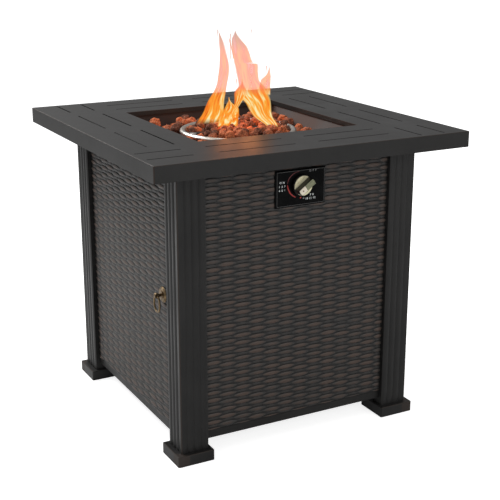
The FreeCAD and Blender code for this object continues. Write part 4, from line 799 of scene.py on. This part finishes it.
def stoneLayer(name, wanted, levels, rounding, replaced, covering=False):
    settings = dict(growth=1.36, roughness=0.26, pitDepth=0.16, seed=4, flatAngle=0.5)
    chance = random.Random(settings["seed"])
    if covering:
        bm = bmesh.new()
        coverStones(bm, chance)
    else:
        bm = frameStones()
        bmesh.ops.dissolve_limit(bm, angle_limit=math.radians(settings["flatAngle"]),
                                 verts=bm.verts, edges=bm.edges)
        bmesh.ops.triangulate(bm, faces=bm.faces)
    centres = bm.verts.layers.float_vector.new("stoneCentre")
    tones = bm.verts.layers.float.new("stoneTone")
    unwanted = []
    count = 0
    for group in stoneIslands(bm):
        middle = middleOf(group)
        tone = chance.random()
        if wanted(max(vertex.co.z for vertex in group)):
            count += 1
            for vertex in group:
                vertex[centres] = middle
                vertex[tones] = tone
        else:
            unwanted += group
    bmesh.ops.delete(bm, geom=unwanted, context="VERTS")
    mesh = meshFromTree(name, stonesTree, {
        "Levels": levels, "Rounding": rounding, "Growth": settings["growth"],
        "Roughness": settings["roughness"], "Pit Depth": settings["pitDepth"],
        "Material": finishes["lavaRock"]}, plainMesh(name + "Start", bm))
    newPiece(name, mesh, "table", replaced, finishes["lavaRock"])
    print(name, "made of", count, "stones")


stonesTree = stoneTree()
# the stones that reach near the ring's top are made finer than the buried ones
layerHeight = ringTop - 0.004
stoneLayer("lavaStonesUpper", lambda top: top >= layerHeight, 3, 2, ["lava_rocks"])
stoneLayer("lavaStonesLower", lambda top: top < layerHeight, 2, 1, [])
stoneLayer("lavaStonesCover", lambda top: True, 3, 2, [], covering=True)


# Control knob: a black skirt, a low grooved cap and a tall bar across it

def addStrip(bm, left, right, reach, low, high, bevel, start=-1.0, end=1.0):
    # an upright-sided strip along Y; its ends follow the cap's round edge, or stop at start
    # and end
    steps = 20

    def ring(inset, height):
        ends = []
        for step in range(steps + 1):
            x = left + inset + (right - left - 2 * inset) * step / steps
            arc = math.sqrt(max((reach - inset) ** 2 - x * x, 0))
            ends.append((x, max(-arc, start + inset), min(arc, end - inset)))
        outline = [(x, lower) for x, lower, upper in ends]
        outline += [(x, upper) for x, lower, upper in reversed(ends)]
        return [bm.verts.new((x, y, height)) for x, y in outline]

    rings = [ring(0, low), ring(0, high - bevel), ring(bevel, high)]
    for lower, upper in zip(rings, rings[1:]):
        bridge(bm, lower, upper)
    bm.faces.new(list(reversed(rings[0])))
    bm.faces.new(rings[-1])


def knobPieces():
    sizes = dict(angle=126, skirtRadius=0.022, skirtHeight=0.005, skirtFoot=(0.001, 0.0008),
                 skirtRound=((0, 0.0018), (0.0003, 0.0010), (0.0009, 0.0003), (0.0014, 0)),
                 skirtSteps=480, ribs=60, ribDepth=0.0004, ribEdge=0.0006,
                 capRadius=0.0204, capPlay=0.0002, capTop=0.0068, grooveDepth=0.0009,
                 grooves=(0.0100, 0.0125, 0.0155), sink=0.0003, barHalf=0.0065,
                 barReach=0.0199, topRise=0.0011, topInset=0.0005, creamLength=0.0165,
                 ridgeDepth=0.0006, ridges=4, ridgeBevel=0.6, gap=0.0002, bevel=0.0003,
                 dotRadius=0.0015, dotRise=0.0002, dotShare=0.45, dotSteps=24)
    full = -knobLow.y + knobHigh.y
    # local frame: Z towards the hand and Y along the bar, then turned to the knob's angle
    place = (Matrix.Translation((0, knobHigh.y, knobHeight)) @ Matrix.Rotation(math.pi / 2, 4, "X")
             @ Matrix.Rotation(math.radians(sizes["angle"]), 4, "Z"))

    def keep(name, bm, finish, replaced=()):
        bmesh.ops.transform(bm, matrix=place, verts=bm.verts)
        mesh = meshFromBmesh(name, bm, smoothAngle=35)
        newPiece(name, mesh, "knob", replaced, finishes[finish])

    def rib(radius, turn):
        if radius > sizes["skirtRadius"] - sizes["ribEdge"]:
            return -sizes["ribDepth"] * (0.5 - 0.5 * math.cos(sizes["ribs"] * turn))
        return 0

    radius = sizes["skirtRadius"]
    top = sizes["skirtHeight"]
    footInset, footRise = sizes["skirtFoot"]
    profile = [(0, 0), (radius - footInset, 0), (radius, footRise)]
    profile += [(radius - inset, top - drop) for inset, drop in sizes["skirtRound"]] + [(0, top)]
    bm = bmesh.new()
    addLathe(bm, profile, sizes["skirtSteps"], rib)
    keep("knobSkirt", bm, "skirtBlack", ["knob"])
    bm = bmesh.new()
    capRadius = sizes["capRadius"]
    bevel = sizes["bevel"]
    half = sizes["barHalf"]
    low = top - sizes["sink"]
    edges = (half, *sizes["grooves"], capRadius - sizes["capPlay"])
    for side in (1, -1):
        for number, (near, far) in enumerate(zip(edges, edges[1:])):
            high = sizes["capTop"] - (sizes["grooveDepth"] if number % 2 == 0 else 0)
            left, right = sorted((side * near, side * far))
            addStrip(bm, left, right, capRadius, low, high, bevel)
    keep("knobCap", bm, "champagneMetal")
    bm = bmesh.new()
    barTop = full - sizes["topRise"]
    addStrip(bm, -half, half, sizes["barReach"], low, barTop, bevel)
    keep("knobBar", bm, "knobBlack")
    inner = half - sizes["topInset"]
    reach = sizes["barReach"] - sizes["topInset"]
    border = reach - sizes["creamLength"]
    bm = bmesh.new()
    count = 2 * sizes["ridges"] - 1
    wide = 2 * inner / count
    for index in range(count):
        high = full if index % 2 == 0 else full - sizes["ridgeDepth"]
        left = -inner + index * wide
        addStrip(bm, left, left + wide, reach, barTop - bevel, high,
                 bevel * sizes["ridgeBevel"], end=border)
    # the bar's ridges are champagne darkened as painted shade
    keep("knobRidges", bm, "shadedChampagne")
    bm = bmesh.new()
    addStrip(bm, -inner, inner, reach, barTop - bevel, full, bevel, start=border + sizes["gap"])
    keep("knobPointer", bm, "creamPointer")
    bm = bmesh.new()
    rise = full + sizes["dotRise"]
    wide = sizes["dotRadius"]
    dot = addLathe(bm, [(0, full - bevel), (wide, full - bevel), (wide, rise), (0, rise)],
                   sizes["dotSteps"])
    along = reach - sizes["creamLength"] * sizes["dotShare"]
    bmesh.ops.translate(bm, verts=dot, vec=(0, along, 0))
    keep("knobDot", bm, "brownPrint")


knobPieces()
print("knob made")


# Printed marks on the control plate, and a painted highlight line along its bevel

def newMark(name, mesh, finish):
    newPiece(name, mesh, "table", (), finishes[finish])


def flatText(name, words, spread, x, z, finish):
    sizes = dict(letter=0.0056, rise=0.00004, swell=0.0002)
    curve = bpy.data.curves.new(name + "Curve", "FONT")
    curve.body = words
    curve.size = sizes["letter"]
    curve.space_character = spread
    curve.align_x = "CENTER"
    curve.align_y = "CENTER"
    curve.extrude = sizes["rise"]
    curve.offset = sizes["swell"]
    holder = newObject(name + "Text", curve)
    depsgraph = bpy.context.evaluated_depsgraph_get()
    mesh = bpy.data.meshes.new_from_object(holder.evaluated_get(depsgraph))
    bpy.data.objects.remove(holder)
    place = Matrix.Translation((x, plateLow.y, z)) @ Matrix.Rotation(math.pi / 2, 4, "X")
    mesh.transform(place)
    mesh.name = name
    newMark(name, mesh, finish)


def printedArc(name, middle, across, upright, start, end, thin, thick, rise, finish):
    # a flat oval arc that swells towards its middle, with degrees counted from the right
    sizes = dict(steps=48, swelling=0.7)
    steps = sizes["steps"]
    bm = bmesh.new()
    rings = []
    for step in range(steps + 1):
        share = step / steps
        turn = math.radians(start + (end - start) * share)
        swell = math.sin(math.pi * share) ** sizes["swelling"]
        half = (thin + (thick - thin) * swell) / 2
        rings.append([
            bm.verts.new((middle.x + (across + reach) * math.cos(turn), middle.y - deep,
                          middle.z + (upright + reach) * math.sin(turn)))
            for reach, deep in ((-half, rise), (half, rise), (half, -rise), (-half, -rise))])
    for first, second in zip(rings, rings[1:]):
        bridge(bm, first, second)
    bm.faces.new(rings[0])
    bm.faces.new(list(reversed(rings[-1])))
    newMark(name, meshFromBmesh(name, bm), finish)


def plateBorder():
    # a lighter line inside the plate's edge, painted highlight standing for light caught on its
    # bevel
    sizes = dict(inset=0.0030, width=0.0008, rise=0.00015)
    inset, width, rise = sizes.values()
    face = plateLow.y
    left, right = plateLow.x + inset, plateHigh.x - inset
    bottom, top = plateLow.z + inset, plateHigh.z - inset
    bm = bmesh.new()
    for x0, x1, z0, z1 in ((left, left + width, bottom, top), (right - width, right, bottom, top),
                           (left, right, bottom, bottom + width), (left, right, top - width, top)):
        addBox(bm, (x0, face - rise, z0), (x1, face + rise, z1))
    newMark("plateBorder", meshFromBmesh("plateBorder", bm), "paintedBevelHighlight")


def controlMarks():
    sizes = dict(radius=0.0305, upright=0.0244, across=-0.0005, above=0.0035, rise=0.00006,
                 highArc=(96, 178, 0.0006, 0.0016), lowArc=(183, 248, 0.0010, 0.0026),
                 dotRadius=0.0016, dotDrop=0.0272, dotSink=0.0001, dotSteps=24)
    middle = Vector((sizes["across"], plateLow.y, knobHeight + sizes["above"]))
    radius, rise = sizes["radius"], sizes["rise"]
    printedArc("plateArcHigh", middle, radius, sizes["upright"], *sizes["highArc"], rise,
               "darkRedPrint")
    printedArc("plateArcLow", middle, radius, radius, *sizes["lowArc"], rise, "redPrint")
    bm = bmesh.new()
    wide, sink = sizes["dotRadius"], -sizes["dotSink"]
    dot = addLathe(bm, [(0, sink), (wide, sink), (wide, rise), (0, rise)], sizes["dotSteps"])
    spot = Matrix.Translation((sizes["across"], plateLow.y, knobHeight - sizes["dotDrop"]))
    bmesh.ops.transform(bm, matrix=spot @ Matrix.Rotation(math.pi / 2, 4, "X"), verts=dot)
    newMark("plateDot", meshFromBmesh("plateDot", bm), "redPrint")
    # words with their letter spacing and their place from the knob's middle
    for name, words, spread, x, z, finish in (
            ("plateOff", "OFF", 2.2, 0.0275, 0.0262, "greyPrint"),
            ("plateOn", "ON", 2.0, -0.0435, 0.0080, "whitePrint"),
            ("plateLow", "1 2 3", 1.3, -0.0435, 0.0, "whitePrint"),
            ("plateHigh", "4 5 6", 1.3, -0.0435, -0.0080, "whitePrint"),
            ("plateRowOne", "7 8", 1.3, 0.0260, -0.0235, "whitePrint"),
            ("plateRowTwo", "9 10 11 12", 1.2, 0.0200, -0.0305, "whitePrint")):
        flatText(name, words, spread, x, knobHeight + z, finish)


plateBorder()
controlMarks()
print("plate marked")


# Flames are shown, but they are not part of the table

def flameMaterial():
    # see-through towards the tips, yellow to white in streaks that follow each tongue's sides
    settings = dict(deep=(1.0, 0.20, 0.015), warm=(1.0, 0.47, 0.055), bright=(1.0, 0.88, 0.46),
                    thinDeep=(1.0, 0.17, 0.09), thinWarm=(1.0, 0.36, 0.10),
                    smoke=(0.30, 0.16, 0.12), stretch=(1.0, 0.55, 1),
                    wisps=(4.2, 3, 0.5, 1.1), fine=(11.0, 3, 0.55, 0.8), wispShare=0.65,
                    fineShare=0.35, ragged=0.08, sides=(0.42, 0.48), foot=0.06,
                    streakEdges=(0.40, 0.56), brightEdges=(0.53, 0.62), change=(0.695, 0.715),
                    opaque=(0.97, 0.80), gapEdges=(0.30, 0.42), gapShare=0.35, highGap=0.9,
                    turnEdges=(0.25, 0.55), smokeSides=(0.36, 0.46), sideSmoke=0.30,
                    smokeHeights=(0.785, 0.835), tipSmoke=0.75)
    material = bpy.data.materials.new("flame")
    material.use_nodes = True
    tree = material.node_tree
    tree.nodes.clear()
    uv = addNode(tree, "ShaderNodeUVMap").outputs[0]
    along, up, _ = splitXYZ(uv)
    level = splitXYZ(objectCoordinates(tree))["Z"]
    lined = addNode(tree, "ShaderNodeMapping", {"Scale": settings["stretch"], "Vector": uv})
    wisps = noiseTexture(lined.outputs[0], *settings["wisps"])
    fine = noiseTexture(lined.outputs[0], *settings["fine"])
    flow = plus(times(wisps, settings["wispShare"]), times(fine, settings["fineShare"]))
    across = calculate("ABSOLUTE", minus(calculate("FRACT", along), 0.5))
    ragged = plus(across, times(minus(fine, 0.5), settings["ragged"]))
    body = ramp(ragged, *settings["sides"], 1, 0)
    base = ramp(up, 0.0, settings["foot"], 0, 1)
    highUp = ramp(level, *settings["change"])
    solid = ramp(highUp, 0, 1, *settings["opaque"])
    gaps = ramp(flow, *settings["gapEdges"], settings["gapShare"], 1)
    gaps = larger(gaps, times(highUp, settings["highGap"]))
    weight = addNode(tree, "ShaderNodeLayerWeight", {"Blend": 0.5})
    turned = ramp(weight.outputs["Facing"], *settings["turnEdges"], 1, 0)
    amount = times(times(body, base), times(solid, gaps))
    amount = calculate("MULTIPLY", amount, turned, clamp=True)
    streak = ramp(flow, *settings["streakEdges"])
    low = mixColours(streak, settings["deep"], settings["warm"])
    low = layColour(low, flow, settings, "bright")
    high = mixColours(streak, settings["thinDeep"], settings["thinWarm"])
    colour = mixColours(highUp, low, high)
    sides = times(ramp(across, *settings["smokeSides"], 0, settings["sideSmoke"]), highUp)
    tips = ramp(level, *settings["smokeHeights"], 0, settings["tipSmoke"])
    colour = mixColours(larger(sides, tips), colour, settings["smoke"])
    glow = addNode(tree, "ShaderNodeEmission", {"Color": colour, "Strength": 1.0})
    clear = addNode(tree, "ShaderNodeBsdfTransparent")
    mix = addNode(tree, "ShaderNodeMixShader", {
        0: amount, 1: clear.outputs[0], 2: glow.outputs[0]})
    addNode(tree, "ShaderNodeOutputMaterial", {"Surface": mix.outputs[0]})
    return material


def smoothRows(rows, steps):
    # rows of (height, left, right) joined by soft curves through every row
    padded = [rows[0]] + list(rows) + [rows[-1]]
    lines = []
    for before, start, end, after in zip(padded, padded[1:], padded[2:], padded[3:]):
        for step in range(steps):
            t = step / steps
            lines.append([
                0.5 * (2 * b + (c - a) * t + (2 * a - 5 * b + 4 * c - d) * t * t
                       + (3 * b - a - 3 * c + d) * t ** 3)
                for a, b, c, d in zip(before, start, end, after)])
    lines.append(list(rows[-1]))
    return lines


def flameSheet(bm, layer, number, foot, rows, turn, bend):
    # one tongue between its left and right edges, given by height as (height, left, right)
    sizes = dict(columns=8, steps=4, margin=0.001)
    columns = sizes["columns"]
    direction = Vector((math.cos(turn), math.sin(turn), 0))
    sideways = Vector((-math.sin(turn), math.cos(turn), 0))
    low, high = rows[0][0], rows[-1][0]
    grid = []
    for height, left, right in smoothRows(rows, sizes["steps"]):
        row = []
        for column in range(columns + 1):
            share = column / columns
            place = foot + direction * (left + (right - left) * share)
            place += sideways * bend * math.sin(math.pi * share) + Vector((0, 0, height))
            u = number + sizes["margin"] + (1 - 2 * sizes["margin"]) * share
            row.append((bm.verts.new(place), u, (height - low) / (high - low)))
        grid.append(row)
    for lower, upper in zip(grid, grid[1:]):
        for column in range(columns):
            corners = [lower[column], lower[column + 1], upper[column + 1], upper[column]]
            face = bm.faces.new([corner[0] for corner in corners])
            for loop, corner in zip(face.loops, corners):
                loop[layer].uv = (corner[1], corner[2])


def flames():
    # each tongue is crossed by a slimmer sheet, so that the fire shows from the side as well
    sizes = dict(bend=0.006, crossBend=0.002, crossShare=0.4)
    # the sheets stand square to the photograph's line of sight
    facing = math.atan2(-0.4727, 0.8811)
    # how far behind the middle each tongue stands, and its edges by height
    tongues = (
        (0.0, ((0.633, -0.095, -0.037), (0.647, -0.086, -0.033), (0.660, -0.078, -0.029),
               (0.683, -0.068, -0.0285), (0.705, -0.0545, -0.0255), (0.721, -0.0475, -0.023),
               (0.744, -0.0435, -0.0185), (0.763, -0.041, -0.0185), (0.791, -0.040, -0.024),
               (0.816, -0.0425, -0.030), (0.839, -0.0435, -0.0415))),
        (0.004, ((0.621, 0.068, 0.090), (0.634, 0.056, 0.087), (0.646, 0.038, 0.079),
                 (0.660, 0.026, 0.0745), (0.680, 0.014, 0.0735), (0.693, 0.000, 0.0705),
                 (0.705, -0.0085, 0.066), (0.716, -0.002, 0.060), (0.731, -0.003, 0.048),
                 (0.763, -0.010, 0.0455), (0.768, -0.0105, 0.034), (0.791, -0.0135, 0.0255),
                 (0.803, -0.015, 0.0205), (0.818, -0.014, 0.0075),
                 (0.839, -0.0068, -0.0056))),
        (0.010, ((0.695, 0.040, 0.072), (0.720, 0.047, 0.072), (0.731, 0.050, 0.0725),
                 (0.7425, 0.0605, 0.0725), (0.753, 0.065, 0.0715),
                 (0.760, 0.0678, 0.0690))),
        (-0.004, ((0.775, -0.012, -0.006), (0.792, -0.0150, -0.0085),
                  (0.8135, -0.0205, -0.0140), (0.831, -0.0224, -0.0214))),
        (-0.008, ((0.628, -0.047, 0.000), (0.640, -0.044, 0.002), (0.650, -0.040, 0.003),
                  (0.662, -0.035, 0.0035), (0.672, -0.029, 0.0015),
                  (0.684, -0.0235, -0.0125), (0.694, -0.0204, -0.0190))),
        (-0.012, ((0.640, -0.026, -0.012), (0.652, -0.022, -0.008), (0.664, -0.017, -0.004),
                  (0.680, -0.0095, 0.006), (0.693, -0.0085, 0.014), (0.706, -0.0085, 0.020),
                  (0.722, 0.004, 0.014), (0.735, 0.008, 0.010))))
    bm = bmesh.new()
    layer = bm.loops.layers.uv.new("flameMap")
    direction = Vector((math.cos(facing), math.sin(facing), 0))
    sideways = Vector((-math.sin(facing), math.cos(facing), 0))
    for number, (deep, rows) in enumerate(tongues):
        foot = sideways * deep
        flameSheet(bm, layer, number, foot, rows, facing, sizes["bend"])
        middle = sum(row[1] + row[2] for row in rows) / len(rows) / 2
        share = sizes["crossShare"]
        slim = [(height, (start - end) * share, (end - start) * share)
                for height, start, end in rows]
        flameSheet(bm, layer, number, foot + direction * middle, slim, facing + math.pi / 2,
                   sizes["crossBend"])
    mesh = plainMesh("flames", bm)
    mesh.shade_smooth()
    newStage("flames", mesh, flameMaterial()).visible_shadow = False


flames()
print("flames shown")


# Floor, light and camera

def lightPath(tree):
    # the rays that meet a surface straight or through see-through things, and the glossy ones
    path = addNode(tree, "ShaderNodeLightPath").outputs
    return larger(path["Is Camera Ray"], path["Is Transmission Ray"]), path["Is Glossy Ray"]


def studioFloor():
    # a floor that keeps a faint shadow and turns plain white a little way off
    settings = dict(colour=(0.8, 0.8, 0.8, 1), roughness=0.9, specular=0.1, nearWhite=0.80,
                    whiteEdges=(0.45, 1.3), reach=30, mirrored=0.15)
    material, tree, shader = newMaterial("whiteFloor")
    paint(shader, settings["colour"], settings["roughness"], settings["specular"])
    place = addNode(tree, "ShaderNodeTexCoord").outputs["Object"]
    distance = addNode(tree, "ShaderNodeVectorMath", {0: place}, operation="LENGTH")
    near = ramp(distance.outputs["Value"], *settings["whiteEdges"], settings["nearWhite"], 1)
    seen, glossy = lightPath(tree)
    strength = times(near, larger(seen, times(glossy, settings["mirrored"])))
    white = addNode(tree, "ShaderNodeEmission", {"Strength": strength})
    added = addNode(tree, "ShaderNodeAddShader", {0: shader.outputs[0], 1: white.outputs[0]})
    feed(tree.nodes["Material Output"].inputs["Surface"], added.outputs[0])
    mesh = bpy.data.meshes.new("floor")
    far = settings["reach"]
    corners = [(-far, -far, 0), (far, -far, 0), (far, far, 0), (-far, far, 0)]
    mesh.from_pydata(corners, [], [(0, 1, 2, 3)])
    newStage("floor", mesh, material)


def studioWorld():
    # plain white to the camera, and a softer grey as the light on the table
    settings = dict(ambient=0.40, glossy=0.36)
    world = bpy.data.worlds.new("studio")
    bpy.context.scene.world = world
    world.use_nodes = True
    seen, glossy = lightPath(world.node_tree)
    change = settings["glossy"] - settings["ambient"]
    strength = larger(seen, plus(settings["ambient"], times(glossy, change)))
    background = world.node_tree.nodes["Background"]
    feedAll(background, {"Color": (1, 1, 1, 1), "Strength": strength})


def aimed(item, place, target):
    item.location = place
    aim = Vector(target) - Vector(place)
    item.rotation_euler = aim.to_track_quat("-Z", "Y").to_euler()


def lights():
    fireLight = dict(energy=0.34, color=(1.0, 0.30, 0.08), radius=0.05, above=0.025)
    for name, place, target, size, power in (
            ("rearSoftbox", (-0.9, 1.5, 1.9), (0, 0, 0.6), (1.4, 1.0), 46),
            ("leftSoftbox", (-2.1, 0.3, 2.2), (0, 0, 0.45), (1.4, 1.4), 5),
            ("overheadSoftbox", (0.3, 0.2, 2.8), (0, 0, 0.5), (2.2, 2.2), 12),
            ("frontFill", (0.9, -3.2, 1.4), (0, 0, 0.35), (2.0, 2.0), 27)):
        light = bpy.data.lights.new(name, "AREA")
        light.shape = "RECTANGLE"
        light.size, light.size_y = size
        light.energy = power
        aimed(newObject(name, light), place, target)
    fire = bpy.data.lights.new("fireGlow", "POINT")
    fire.energy = fireLight["energy"]
    fire.color = fireLight["color"]
    fire.shadow_soft_size = fireLight["radius"]
    newObject("fireGlow", fire).location = (0, 0, tableTop + fireLight["above"])


def photoCamera():
    # the camera that was solved from the photograph's corners, with no shift
    view = dict(focalPixels=1085.6, imagePixels=500, sensor=36, clip=(0.05, 100),
                place=(-1.0957, -2.0977, 1.0680), target=(0.0232, -0.0122, 0.3439))
    camera = bpy.data.cameras.new("photoCamera")
    camera.sensor_width = view["sensor"]
    camera.lens = view["focalPixels"] / view["imagePixels"] * camera.sensor_width
    camera.clip_start, camera.clip_end = view["clip"]
    holder = newObject("photoCamera", camera)
    aimed(holder, view["place"], view["target"])
    bpy.context.scene.camera = holder


studioFloor()
studioWorld()
lights()
photoCamera()
bpy.context.scene.view_settings.view_transform = "Standard"
print("floor, light and camera set")
